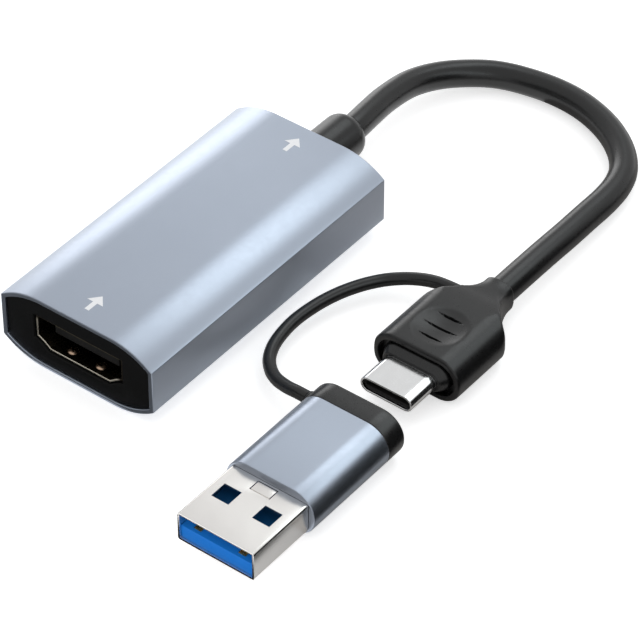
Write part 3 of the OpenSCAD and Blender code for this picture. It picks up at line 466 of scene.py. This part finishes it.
# Cords
LEAD_D = 4.0
LEAD_ROUTE = [
    (0, 32, 5.8), (0, 34.5, 5.8), (-0.5, 38.6, 5.5), (-1, 43.1, 5), (-1, 48.6, 4.2), (0.3, 53.2, 3.4),
    (2.7, 57, 2.7), (6.1, 59.9, 2.3), (10.6, 61.5, 2.1), (15.6, 62, 2.1), (20.4, 61.4, 2.1),
    (25.2, 59.6, 2.1), (29.3, 56.8, 2.1), (32.1, 53.5, 2.1), (33.5, 50, 2.2), (34.1, 46, 2.4),
    (34.3, 41, 2.7), (34.5, 36, 3), (34.6, 31, 3.3), (34.7, 26, 3.5), (34.7, 22, 3.5), (34.7, 18.6, 3.5),
]
TETHER_D = 1.8
TETHER_ROUTE = [
    (30.3, 17.5, 3.5), (28.4, 17.5, 3.4), (26.4, 17.4, 3.2), (24.3, 16.9, 2.9), (22.2, 15.9, 2.6),
    (20.2, 14.2, 2.4), (18.5, 11.6, 2.4), (17.1, 8.3, 2.4), (16.2, 4.5, 2.4), (15.9, 0.2, 2.4),
    (16.5, -4, 2.4), (17.7, -6.9, 2.4), (19.3, -8.7, 2.4), (21.1, -9.8, 2.5), (23.3, -10.5, 2.9),
    (25.3, -10.9, 3.4), (27.2, -11, 3.5),
]


def smooth_route(route, steps=8):
    """A smooth curve through every point of a route."""
    ends = [2 * Vector(route[0]) - Vector(route[1]), 2 * Vector(route[-1]) - Vector(route[-2])]
    pts = [ends[0], *map(Vector, route), ends[1]]
    line = []
    for a, b, c, d in zip(pts, pts[1:], pts[2:], pts[3:]):
        for k in range(steps):
            t = k / steps
            line.append(((2 * b) + (c - a) * t + (2 * a - 5 * b + 4 * c - d) * t * t
                         + (3 * b - a - 3 * c + d) * t ** 3) / 2)
    return line + [pts[-2]]


def tube_rings(line, radius, sides):
    """Round rings along a line, with no twist between them."""
    rings = []
    for i, p in enumerate(line):
        along = (line[min(i + 1, len(line) - 1)] - line[max(i - 1, 0)]).normalized()
        side = along.cross(Vector((0, 0, 1))).normalized()
        up = side.cross(along)
        rings.append([p + radius * (math.cos(a) * side + math.sin(a) * up) for a in circle(sides)])
    return rings


def make_cord(name, route, diameter, replaced, sides):
    """A round tube along a smoothed route, and that line."""
    line = smooth_route(route)
    skin = loft(tube_rings(line, diameter / 2, sides))
    return piece(name, *skin, SOFT_BLACK, "soft_black", replaces=[replaced]), line


lead, lead_line = make_cord("lead", LEAD_ROUTE, LEAD_D, "main_cable", 32)
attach(lead, BOX)
tether, tether_line = make_cord("tether_strap", TETHER_ROUTE, TETHER_D, "tether", 20)
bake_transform(tether)
# Its mirror image would only blotch the box's wall
tether.visible_glossy = False


# Box
FLAT_W = 11.4
SIDE_H = 6.8
SLEEVE_WALL = 0.7
SLEEVE_EDGE = 0.14
SIDE_EDGE = 0.12
sleeve_low, sleeve_high = box_mm("housing_sleeve")
box_w = sleeve_high.x - sleeve_low.x
box_h = sleeve_high.z - sleeve_low.z
box_axis_z = box_h / 2
shoulder_w = (box_w - FLAT_W) / 2
shoulder_drop = (box_h - SIDE_H) / 2
shoulder_r = (shoulder_w ** 2 + shoulder_drop ** 2) / (2 * shoulder_drop)


def soft_corner(start, corner, end, steps=5):
    """Points of a curve that cuts a corner short, after its start."""
    start, corner, end = Vector(start), Vector(corner), Vector(end)
    shares = [k / steps for k in range(1, steps + 1)]
    return [tuple(start * (1 - t) ** 2 + corner * 2 * t * (1 - t) + end * t * t) for t in shares]


def box_outline(inset):
    """The box's cross-section about its axis, drawn inwards, with softened side edges."""
    half_w, half_h, r = box_w / 2 - inset, box_h / 2 - inset, shoulder_r - inset
    reach = math.asin((half_w - FLAT_W / 2) / r)
    corner = Vector((half_w, half_h - r + r * math.cos(reach)))
    top = [(FLAT_W / 2 * k / 4, half_h) for k in range(4)]
    turns = [(reach - SIDE_EDGE / r) * k / 20 for k in range(21)]
    arc = [(FLAT_W / 2 + r * math.sin(a), half_h - r + r * math.cos(a)) for a in turns]
    bend = soft_corner(arc[-1], corner, corner - Vector((0, SIDE_EDGE)))
    return mirrored_ring(top + arc + bend + [(half_w, 0)])


def box_ring(y, inset):
    return [(x, y, box_axis_z + z) for x, z in box_outline(inset)]


def make_box_sleeve():
    skin = loft(tube_loop(box_ring, SLEEVE_WALL, sleeve_low.y, sleeve_high.y, SLEEVE_EDGE), closed=True)
    return piece("box_sleeve", *skin, ALUMINIUM, "anodised_aluminium", BOX, ["housing_sleeve"])


ARROW_W = 2.6
ARROW_L = 3.2
ARROW_HEAD = 1.5
ARROW_BAR = 0.7
ARROW_MARGIN = 2.4
INK_T = 0.012


def make_arrow(name, x, y):
    """A printed arrow on the top face that points along the signal's way."""
    z = sleeve_high.z
    outline = [(-ARROW_BAR / 2, 0), (ARROW_BAR / 2, 0), (ARROW_BAR / 2, ARROW_L - ARROW_HEAD),
               (ARROW_W / 2, ARROW_L - ARROW_HEAD), (0, ARROW_L), (-ARROW_W / 2, ARROW_L - ARROW_HEAD),
               (-ARROW_BAR / 2, ARROW_L - ARROW_HEAD)]
    rings = [[(x + u, y + v, height) for u, v in outline] for height in (z, z + INK_T)]
    return piece(name, *loft(rings), INK, "anodised_aluminium", BOX)


RELIEF_ROUND = 2.2
RELIEF_FLANGE_R, RELIEF_BARREL_R = 3.2, 2.5
RELIEF_EDGE = 0.1
RELIEF_AXIS_R = 0.01
LEAD_GAP = 0.02
relief_low, relief_high = box_mm("cable_strain_relief")
plate_low, plate_high = box_mm("rear_end_plate")


def make_strain_relief():
    """Moulded boss that the lead leaves the box through."""
    radius = (relief_high.x - relief_low.x) / 2
    start, end = relief_low.y, relief_high.y
    flange_y = plate_low.y - SEAT_GAP
    bore_r = LEAD_D / 2 + LEAD_GAP
    profile = [(RELIEF_AXIS_R, start), (RELIEF_FLANGE_R - RELIEF_EDGE, start),
               (RELIEF_FLANGE_R, start + RELIEF_EDGE), (RELIEF_FLANGE_R, flange_y),
               (RELIEF_BARREL_R, flange_y), (RELIEF_BARREL_R, plate_high.y),
               (radius - RELIEF_EDGE, plate_high.y), (radius, plate_high.y + RELIEF_EDGE)]
    profile += [(radius - inset, end - back) for inset, back in quarter_round(RELIEF_ROUND, 10)]
    profile += [(LEAD_D / 2 + SEAT_GAP, end), (bore_r, end - RELIEF_EDGE), (bore_r, end - BORE_DEPTH),
                (RELIEF_AXIS_R, end - BORE_DEPTH)]
    rings = [[(r * math.cos(a), y, box_axis_z + r * math.sin(a)) for a in circle(64)] for r, y in profile]
    return piece("strain_relief", *loft(rings), SOFT_BLACK, "soft_black", BOX, ["cable_strain_relief"])


make_box_sleeve()
make_arrow("input_mark", 0, sleeve_low.y + ARROW_MARGIN)
make_arrow("output_mark", 0, sleeve_high.y - ARROW_MARGIN - ARROW_L)
strain_relief = make_strain_relief()


# Reversible plug
PLUG_W, PLUG_T = 14.0, 7.0
PLUG_EDGE = 0.35
RIM_W, RIM_DEPTH, RIM_EDGE = 0.9, 1.0, 0.1
SHOULDER_FROM_RIM, SHOULDER_IN_R, SHOULDER_OUT_R = 9.6, 1.6, 8.5
SWEEP_FROM_RIM, SWEEP_R = 10.1, 14.0
NECK_HALF_W, NECK_HALF_T = 2.4, 2.45
NECK_R, NECK_SWEEP_R, NECK_END = 2.6, 5.0, 0.5
NECK_EDGE = 0.25
WALL_EDGE = 0.55
GRIP_D, GRIP_DEPTH = 7.5, 0.45
GRIP_MARGIN = 0.3
DISH_EDGE, GROOVE_EDGE = 0.08, 0.05
GROOVE_GAP, GROOVE_W, GROOVE_DEPTH = 2.25, 0.4, 0.4
GROOVE_L, GROOVE_STEP = 5.5, 1.5
GRIP_FROM_RIM = 5.3
body_low, body_high = box_mm("plug_overmould")
core_low, core_high = box_mm("plug_core")
tip_low, tip_high = box_mm("plug_shell")
plug_x = (core_low.x + core_high.x) / 2
plug_z = (core_low.z + core_high.z) / 2
core_w, core_t = core_high.x - core_low.x, core_high.z - core_low.z
tip_w, tip_t = tip_high.x - tip_low.x, tip_high.z - tip_low.z
grip_y = body_low.y + GRIP_FROM_RIM


def oval_field(x, z, w, t):
    """Signed distance to a flat oval."""
    return np.hypot(np.maximum(np.abs(x) - (w - t) / 2, 0), z) - t / 2


def box_field(x, z, half_w, half_t, corner):
    """Signed distance to a rectangle with round corners."""
    return met(np.abs(x) - half_w, np.abs(z) - half_t, corner)


def joined(a, b, k):
    """Union of two fields with a fillet of about k."""
    h = np.maximum(k - np.abs(a - b), 0) / k
    return np.minimum(a, b) - h * h * k / 4


def cut_by(a, b, k):
    """Field a less field b, with an edge softened by about k."""
    return -joined(-a, b, k)


def met(a, b, r):
    """Intersection of two fields with an edge of radius r."""
    return np.minimum(np.maximum(a, b), -r) + np.hypot(np.maximum(a + r, 0), np.maximum(b + r, 0))


def sweep(y, start, h0, h1, ra, rb):
    """Half width of an outline that goes in from h0 to h1: a rounded shoulder, then a hollow one."""
    dx = ra + rb - (h0 - h1)
    dy = math.sqrt((ra + rb) ** 2 - dx ** 2)
    s = min(max(y - start, 0), dy)
    if s < ra * dy / (ra + rb):
        return h0 - ra + math.sqrt(ra ** 2 - s ** 2)
    return h1 + rb - math.sqrt(rb ** 2 - (dy - s) ** 2)


def cap_radius(chord, depth):
    return (chord ** 2 / 4 + depth ** 2) / (2 * depth)


def grip_field(x, y, z):
    """The dished grip and its three tapered grooves, which the plug's body is cut by."""
    dish_r = cap_radius(GRIP_D, GRIP_DEPTH)
    dish = np.sqrt(x ** 2 + (y - grip_y) ** 2 + (z - PLUG_T / 2 - dish_r + GRIP_DEPTH) ** 2) - dish_r
    grooves = []
    for k in (-1, 0, 1):
        length = GROOVE_L - abs(k) * GROOVE_STEP
        sag = GROOVE_DEPTH + length ** 2 / (8 * dish_r)
        r = cap_radius(length, sag)
        floor = math.sqrt(dish_r ** 2 - (k * GROOVE_GAP) ** 2) - dish_r + GRIP_DEPTH
        disc = np.hypot(x, z - PLUG_T / 2 + floor + GROOVE_DEPTH - r) - r
        lens_r = cap_radius(length, GROOVE_W / 2)
        lens = np.hypot(x, abs(y - grip_y - k * GROOVE_GAP) + lens_r - GROOVE_W / 2) - lens_r
        grooves.append(np.maximum(disc, lens))
    return dish, np.minimum.reduce(grooves)


def neck_field(x, z, half_w, half_t, corner, radius):
    """Signed distance to the neck's section: a rounded rectangle met by a circle."""
    return met(box_field(x, z, half_w, half_t, corner), np.hypot(x, z) - radius, corner)


def plug_field(x, y, z):
    """Signed distance to the plug's soft body, about the plug's axis."""
    from_rim = y - body_low.y
    half_t = sweep(from_rim, SWEEP_FROM_RIM, PLUG_T / 2, NECK_HALF_T, SWEEP_R, SWEEP_R)
    half_w = sweep(from_rim, SHOULDER_FROM_RIM, PLUG_W / 2, NECK_HALF_W, SHOULDER_IN_R, SHOULDER_OUT_R)
    oval = np.maximum(oval_field(x, z, PLUG_W, PLUG_T), np.abs(z) - half_t)
    body = met(oval, np.abs(x) - half_w, WALL_EDGE)
    turn = SHOULDER_IN_R + NECK_SWEEP_R
    round_start = body_high.y - body_low.y - NECK_END - turn
    round_r = sweep(from_rim, round_start, NECK_R + turn, NECK_R, SHOULDER_IN_R, NECK_SWEEP_R)
    body = met(body, np.hypot(x, z) - round_r, WALL_EDGE)
    body = met(met(body, body_low.y - y, PLUG_EDGE), y - body_high.y, NECK_EDGE)
    dish, grooves = grip_field(x, y, z)
    return cut_by(cut_by(body, dish, DISH_EDGE), grooves, GROOVE_EDGE)


def cast(field, rays, y):
    """Ring of points where rays from the plug's axis leave a field's body, in the plane at y."""
    near, far = np.zeros(len(rays)), np.full(len(rays), PLUG_W)
    for _ in range(36):
        middle = (near + far) / 2
        inside = field(middle * np.cos(rays), y, middle * np.sin(rays)) < 0
        near, far = np.where(inside, middle, near), np.where(inside, far, middle)
    return [(plug_x + r * math.cos(a), y, plug_z + r * math.sin(a)) for r, a in zip(near, rays)]


def oval_rays(top, side, bottom):
    """Angles of rays to evenly spaced points on each stretch of the plug's oval."""
    flat, r = (PLUG_W - PLUG_T) / 2, PLUG_T / 2
    bend = [math.pi * k / side for k in range(side)]
    upper = [(flat - 2 * flat * k / top, r) for k in range(top)]
    left = [(-flat - r * math.sin(a), r * math.cos(a)) for a in bend]
    lower = [(-flat + 2 * flat * k / bottom, -r) for k in range(bottom)]
    right = [(flat + r * math.sin(a), -r * math.cos(a)) for a in bend]
    return np.array([math.atan2(z, x) for x, z in upper + left + lower + right])


PLUG_RAYS = oval_rays(72, 40, 24)
OVAL_RAYS = oval_rays(24, 40, 24)


def oval_ring(w, t, rays=OVAL_RAYS):
    """A function that places an oval ring of the plug's line at y, drawn inwards."""
    return lambda y, inset=0: cast(lambda u, _, v: oval_field(u, v, w - 2 * inset, t - 2 * inset), rays, y)


def round_ring(radius, rays):
    return lambda y: cast(lambda u, _, v: np.hypot(u, v) - radius, rays, y)


def stations(low, high, step):
    count = max(1, round((high - low) / step))
    return [low + (high - low) * k / count for k in range(count)]


def make_plug_body():
    """Soft overmould: a flat oval body with a grip, swept into a neck round the lead."""
    front, end = body_low.y, body_high.y
    outer = oval_ring(PLUG_W, PLUG_T, PLUG_RAYS)
    pocket = oval_ring(core_w + 2 * SEAT_GAP, core_t + 2 * SEAT_GAP, PLUG_RAYS)
    floor = front + RIM_DEPTH
    rings = [pocket(core_high.y), pocket(floor), outer(floor, RIM_W)]
    rings += [*rim(outer, front, -1, RIM_EDGE, -1, RIM_W), outer(front, PLUG_EDGE)]
    grip_start = grip_y - GRIP_D / 2 - GRIP_MARGIN
    grip_end = grip_y + GRIP_D / 2 + GRIP_MARGIN
    ys = [front + back for _, back in quarter_round(PLUG_EDGE, 6)[-2::-1]]
    ys += stations(front + PLUG_EDGE, grip_start, 0.4)[1:]
    ys += stations(grip_start, grip_end, 0.07)
    ys += stations(grip_end, end - NECK_EDGE, 0.2)
    ys += [end - back for _, back in quarter_round(NECK_EDGE, 5)[:-1]]
    rings += [cast(plug_field, PLUG_RAYS, y) for y in ys]
    bore = round_ring(LEAD_D / 2 + SEAT_GAP, PLUG_RAYS)
    e = NECK_EDGE
    neck = cast(lambda u, _, v: neck_field(u, v, NECK_HALF_W - e, NECK_HALF_T - e, WALL_EDGE - e, NECK_R - e),
                PLUG_RAYS, end)
    rings += [neck, bore(end), bore(end - BORE_DEPTH)]
    return piece("plug_body", *loft(rings), SOFT_BLACK, "soft_black", BOX, ["plug_overmould"], crease=50)


CORE_SLOPE, CORE_LIP = 1.2, 0.25
CORE_EDGE = 0.3
TIP_EDGE = 0.13
TIP_WALL = 0.3


def make_plug_core():
    """Hard core, sloped all round its front, with the hole that the metal tip stands in."""
    outer = oval_ring(core_w, core_t)
    hole = oval_ring(tip_w + 2 * SEAT_GAP, tip_t + 2 * SEAT_GAP)
    drop = (core_t - tip_t) / 2 - CORE_LIP
    front, ridge = (core_low.y, drop), (core_low.y + CORE_SLOPE, 0)
    slope = (Vector(ridge) - Vector(front)).normalized() * CORE_EDGE
    profile = [(core_low.y, drop + CORE_EDGE / 3)]
    profile += soft_corner(profile[0], front, Vector(front) + slope / 2)
    profile.append(tuple(Vector(ridge) - slope))
    profile += soft_corner(profile[-1], ridge, (ridge[0] + CORE_EDGE, 0))
    rings = [hole(tip_high.y), hole(core_low.y)]
    rings += [outer(y, inset) for y, inset in profile]
    rings.append(outer(core_high.y))
    return piece("plug_hard_core", *loft(rings), CAP_GREY, "black_plastic", BOX, ["plug_core"])


def make_plug_tip():
    """Drawn metal tip with rolled edges."""
    rings = tube_loop(oval_ring(tip_w, tip_t), TIP_WALL, tip_low.y, tip_high.y, TIP_EDGE)
    return piece("plug_tip", *loft(rings, closed=True), TIP_NICKEL, "tip_metal", BOX, ["plug_shell"])


COLLAR_D = 2.1
COLLAR_EDGE = 0.25
COLLAR_FLARE = [(0, 0.35), (0.2, 0.1), (0.45, 0)]
PLUG_STUB_ROOT, PLUG_STUB_LAP = 2.2, 0.1
CAP_STUB_SINK, CAP_STUB_LAP = 0.3, 0.02


def make_collar(name, start, end_x, body, material, slot):
    """Moulded stub that holds an end of the tether, from start to a face at end_x."""
    r, x0, (y, z) = COLLAR_D / 2, start[0], start[1:]
    way = math.copysign(1, end_x - x0)
    profile = [(x0 + way * run, r + flare) for run, flare in COLLAR_FLARE]
    profile += [(end_x - way * back, r - inset) for inset, back in quarter_round(COLLAR_EDGE)]
    rings = [[(x, y + q * math.cos(a), z + q * math.sin(a)) for a in circle(32)] for x, q in profile]
    return piece(name, *loft(rings), material, slot, body)


plug_body = make_plug_body()
plug_core = make_plug_core()
plug_tip = make_plug_tip()
plug_collar = make_collar("plug_tether_stub", (plug_x - PLUG_STUB_ROOT, *TETHER_ROUTE[0][1:]),
                          TETHER_ROUTE[0][0] - PLUG_STUB_LAP, BOX, SOFT_BLACK, "soft_black")


# Adapter
CAP_EDGE = 0.6
SEAM_EDGE = 0.1
CAN_EDGE = 0.12
CAN_WALL = 0.35
CAN_END_WALL = 0.5
WIDE_SEAT_CORNER = 0.9
can_low, can_high = box_mm("adapter_sleeve")
cap_low, cap_high = box_mm("adapter_cap")
socket_low, socket_high = box_mm("adapter_socket_shell")
wide_low, wide_high = box_mm("wide_plug_shell")


def wide_ring(grow):
    """Ring round the wide plug's shell, drawn outwards."""
    half_w, half_t = (wide_high.x - wide_low.x) / 2 + grow, (wide_high.z - wide_low.z) / 2 + grow
    corner = WIDE_SEAT_CORNER + grow
    return lambda y: cast(lambda u, _, v: box_field(u, v, half_w, half_t, corner), OVAL_RAYS, y)


def make_adapter_can():
    """Aluminium sleeve with an end wall that the wide plug stands out of."""
    outer = oval_ring(PLUG_W, PLUG_T)
    hole = wide_ring(SEAT_GAP)
    inside = can_low.y + CAN_END_WALL
    rings = [*rim(outer, can_high.y, 1, CAN_EDGE), *rim(outer, can_high.y, 1, CAN_EDGE, -1, CAN_WALL)[::-1]]
    rings += [outer(inside, CAN_WALL), hole(inside), hole(can_low.y)]
    rings += rim(outer, can_low.y, -1, CAN_EDGE)[::-1]
    skin = loft(rings, closed=True)
    return piece("adapter_can", *skin, ALUMINIUM, "anodised_aluminium", ADAPTER, ["adapter_sleeve"])


def make_adapter_cap():
    """Dark cap with a rounded face and the small socket's mouth."""
    outer = oval_ring(PLUG_W, PLUG_T)
    socket_w, socket_t = socket_high.x - socket_low.x, socket_high.z - socket_low.z
    mouth = oval_ring(socket_w + 2 * SEAT_GAP, socket_t + 2 * SEAT_GAP)
    spigot = CAN_WALL + SEAT_GAP
    face, seam = cap_high.y, can_high.y
    rings = [mouth(cap_low.y), mouth(face), *rim(outer, face, 1, CAP_EDGE)[::-1],
             *rim(outer, seam, -1, SEAM_EDGE), outer(seam, spigot), outer(cap_low.y, spigot)]
    skin = loft(rings, closed=True)
    return piece("adapter_end_cap", *skin, CAP_GREY, "cap_plastic", ADAPTER, ["adapter_cap"])


make_adapter_can()
make_adapter_cap()
cap_side = plug_x - PLUG_W / 2
cap_collar = make_collar("cap_tether_stub", (cap_side + CAP_STUB_SINK, *TETHER_ROUTE[-1][1:]),
                         TETHER_ROUTE[-1][0] + CAP_STUB_LAP, ADAPTER, CAP_GREY, "cap_plastic")


# CAD pieces that keep their own shape: a finish for each, and softened edges where they show
EDGE_SEGMENTS = 3
EDGE_ANGLE = 50
WELD_GAP = 0.001


def modifier_group(name):
    """An empty modifier group, with its input and output."""
    group = bpy.data.node_groups.new(name, "GeometryNodeTree")
    for way in ("INPUT", "OUTPUT"):
        group.interface.new_socket("Geometry", in_out=way, socket_type="NodeSocketGeometry")
    return group, group.nodes.new("NodeGroupInput"), group.nodes.new("NodeGroupOutput")


def smooth_group():
    """Modifier group that shades smooth up to an angle."""
    group, source, result = modifier_group("smooth_by_angle")
    new = group.nodes.new
    smooth, sharp = new("GeometryNodeSetShadeSmooth"), new("GeometryNodeSetShadeSmooth")
    sharp.domain = "EDGE"
    sharp.inputs["Shade Smooth"].default_value = False
    angle, steep = new("GeometryNodeInputMeshEdgeAngle"), new("FunctionNodeCompare")
    steep.operation = "GREATER_THAN"
    steep.inputs[1].default_value = math.radians(SMOOTH_ANGLE)
    link = group.links.new
    link(source.outputs[0], smooth.inputs["Geometry"])
    link(smooth.outputs[0], sharp.inputs["Geometry"])
    link(angle.outputs["Unsigned Angle"], steep.inputs[0])
    link(steep.outputs[0], sharp.inputs["Selection"])
    link(sharp.outputs[0], result.inputs[0])
    return group


def weld_group():
    """Modifier group that welds a node's split corners and drops its stored normals."""
    group, source, result = modifier_group("weld")
    new = group.nodes.new
    drop, weld = new("GeometryNodeRemoveAttribute"), new("GeometryNodeMergeByDistance")
    drop.inputs["Name"].default_value = "custom_normal"
    weld.inputs["Distance"].default_value = WELD_GAP * MM
    link = group.links.new
    link(source.outputs[0], drop.inputs["Geometry"])
    link(drop.outputs[0], weld.inputs["Geometry"])
    link(weld.outputs[0], result.inputs[0])
    return group


SMOOTH, WELD = smooth_group(), weld_group()
FINISHES = [
    (HARD_BLACK, 0.12, ["front_end_plate", "rear_end_plate"]),
    (HARD_BLACK, 0, ["adapter_core"]),
    (SOCKET_STEEL, 0.08, ["video_socket_shell"]),
    (ADAPTER_STEEL, 0.06, ["adapter_socket_shell"]),
    (SOCKET_INSULATOR, 0.08, ["video_socket_insulator"]),
    (INSULATOR, 0.08, ["plug_insulator", "adapter_socket_tongue"]),
    (WIDE_STEEL, 0.06, ["wide_plug_shell"]),
    (BLUE, 0.1, ["wide_plug_tongue"]),
    (GOLD, 0.02, ["video_socket_contacts", "wide_plug_contacts", "wide_plug_rear_contacts"]),
    (GOLD, 0, ["plug_contacts", "adapter_socket_contacts"]),
    (TIP_NICKEL, 0, ["plug_latch_arms"]),
    (BOARD, 0, ["main_board", "plug_board", "adapter_board"]),
    (EPOXY, 0.05, ["capture_chip", "memory_chip", "firmware_chip", "power_inductors", "chip_resistors"]),
    (CAN, 0.05, ["clock_crystal"]),
    (CERAMIC, 0.04, ["ceramic_capacitors"]),
    (WIRE, 0, ["cable_wires"]),
]


def add_nodes(obj, group):
    modifier = obj.modifiers.new(group.name, "NODES")
    modifier.node_group = group


def finish_node(node, material, edge):
    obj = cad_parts[node]
    for slot in obj.material_slots:
        slot.material = material
    if edge:
        add_nodes(obj, WELD)
        bevel = obj.modifiers.new("edge", "BEVEL")
        bevel.width = edge * MM
        bevel.segments = EDGE_SEGMENTS
        bevel.limit_method = "ANGLE"
        bevel.angle_limit = math.radians(EDGE_ANGLE)
        add_nodes(obj, SMOOTH)


for material, edge, nodes in FINISHES:
    for node in nodes:
        finish_node(node, material, edge)


# Stage: a white floor and surround, two soft panels, and cards that shape the reflections
FLOOR_SIDE = 6000
FLOOR_Z = -0.02
FLOOR_TONE = 0.85
FLOOR_GLOW = 0.55
SURROUND = 0.83
COOL_WHITE = (0.92, 0.985, 1)
PANEL_DISTANCE = 700
CARD_Z = 0.05
CARD_BLACK = 0.012


def grey(tone):
    return (tone, tone, tone)


def standing(x0, y0, x1, y1, bottom, top):
    """The corners of an upright sheet."""
    return [(x0, y0, bottom), (x1, y1, bottom), (x1, y1, top), (x0, y0, top)]


def lying(x0, y0, x1, y1, z=CARD_Z):
    """The corners of a level sheet, just above the floor unless a height is given."""
    return [(x0, y0, z), (x1, y0, z), (x1, y1, z), (x0, y1, z)]


def sheet(name, corners, colour):
    """A flat matt stage piece with four corners in millimetres."""
    mesh = bpy.data.meshes.new(name)
    mesh.from_pydata([metres(c) for c in corners], [], [(0, 1, 2, 3)])
    s = Shader(name, Roughness=0.9, Specular_IOR_Level=0.0)
    s.colour(s.mix(s.noise(40, 2), colour, [c + 0.01 for c in colour]))
    mesh.materials.append(s.material)
    obj = bpy.data.objects.new(name, mesh)
    return obj, s


def make_floor():
    """A pale floor that shows as white, also in metal, down to a soft shadow."""
    half = FLOOR_SIDE / 2
    floor, s = sheet("floor", lying(-half, -half, half, half, FLOOR_Z), grey(FLOOR_TONE))
    bpy.context.scene.collection.objects.link(floor)
    path = s.nodes.new("ShaderNodeLightPath")
    seen = path.outputs["Is Camera Ray"]
    for way in ("Is Glossy Ray", "Is Transmission Ray"):
        either = s.nodes.new("ShaderNodeMath")
        either.operation = "MAXIMUM"
        s.link(seen, either.inputs[0])
        s.link(path.outputs[way], either.inputs[1])
        seen = either.outputs[0]
    s.principled.inputs["Emission Color"].default_value = (1, 1, 1, 1)
    s.link(s.spread(seen, 0, FLOOR_GLOW, 0, 1), s.principled.inputs["Emission Strength"])


def make_world():
    """A pale surround that the camera sees as white."""
    world = bpy.data.worlds.new("surround")
    world.use_nodes = True
    bpy.context.scene.world = world
    tree = world.node_tree
    background = tree.nodes["Background"]
    background.inputs["Color"].default_value = (0.99, 0.995, 1, 1)
    path = tree.nodes.new("ShaderNodeLightPath")
    strength = tree.nodes.new("ShaderNodeMath")
    strength.operation = "MAXIMUM"
    tree.links.new(path.outputs["Is Camera Ray"], strength.inputs[0])
    strength.inputs[1].default_value = SURROUND
    tree.links.new(strength.outputs[0], background.inputs["Strength"])


def make_panel(name, way, size, radiance, colour=(1, 1, 1)):
    """A soft panel lamp, whose radiance is what a mirror would show of it."""
    lamp = bpy.data.lights.new(name, "AREA")
    lamp.shape = "RECTANGLE"
    lamp.size, lamp.size_y = (s * MM for s in size)
    lamp.energy = math.pi * lamp.size * lamp.size_y * radiance
    lamp.color = colour
    panel = bpy.data.objects.new(name, lamp)
    target = Vector(CAMERA_AIM)
    aim(panel, target + direction(*way) * PANEL_DISTANCE, target)


def make_card(name, corners, colour=grey(CARD_BLACK), glow=0):
    """A card beside the set that only shows in reflections, black unless a colour or a glow is given."""
    card, s = sheet(name, corners, colour)
    s.principled.inputs["Emission Color"].default_value = (*COOL_WHITE, 1)
    s.principled.inputs["Emission Strength"].default_value = glow
    bpy.context.scene.collection.objects.link(card)
    card.visible_camera = False
    card.visible_diffuse = False
    card.visible_shadow = False


make_floor()
make_world()
make_panel("back_panel", (187, 53.4), (370, 320), 1.8, COOL_WHITE)
make_panel("left_panel", (231.6, 13.5), (320, 340), 1.95)
# Dark cards, for the end plates, the cut edges and the sides that face right
make_card("front_card", standing(-340, -130, 60, -340, 100, 200))
make_card("front_floor_card", lying(-90, -90, 16, -24.8), grey(0.2))
make_card("wide_front_card", lying(16, -43, 40.3, -39.2))
make_card("right_card", standing(211, -18, 102, 112, 0, 66))
make_card("right_floor_card", lying(44.6, -60, 200, 120))
# Grey cards on the floor, for the box's wall and the wide plug's side
make_card("wall_floor_card", lying(13.6, -28, 16.4, 12), (0.84, 0.82, 0.79))
make_card("middle_floor_card", lying(16.4, -28, 44.6, 12), (0.62, 0.6, 0.58))
make_card("back_floor_card", lying(13.6, 12, 44.6, 75), (0.58, 0.56, 0.545))
make_card("wide_plug_card", lying(41, -80, 44.6, -28), grey(0.74))
# A bright card overhead, for the right shoulders of the adapter and the plug
make_card("right_light_card", lying(50.5, -5, 92, 90, 50), glow=2)
bpy.context.scene.view_settings.view_transform = "Standard"
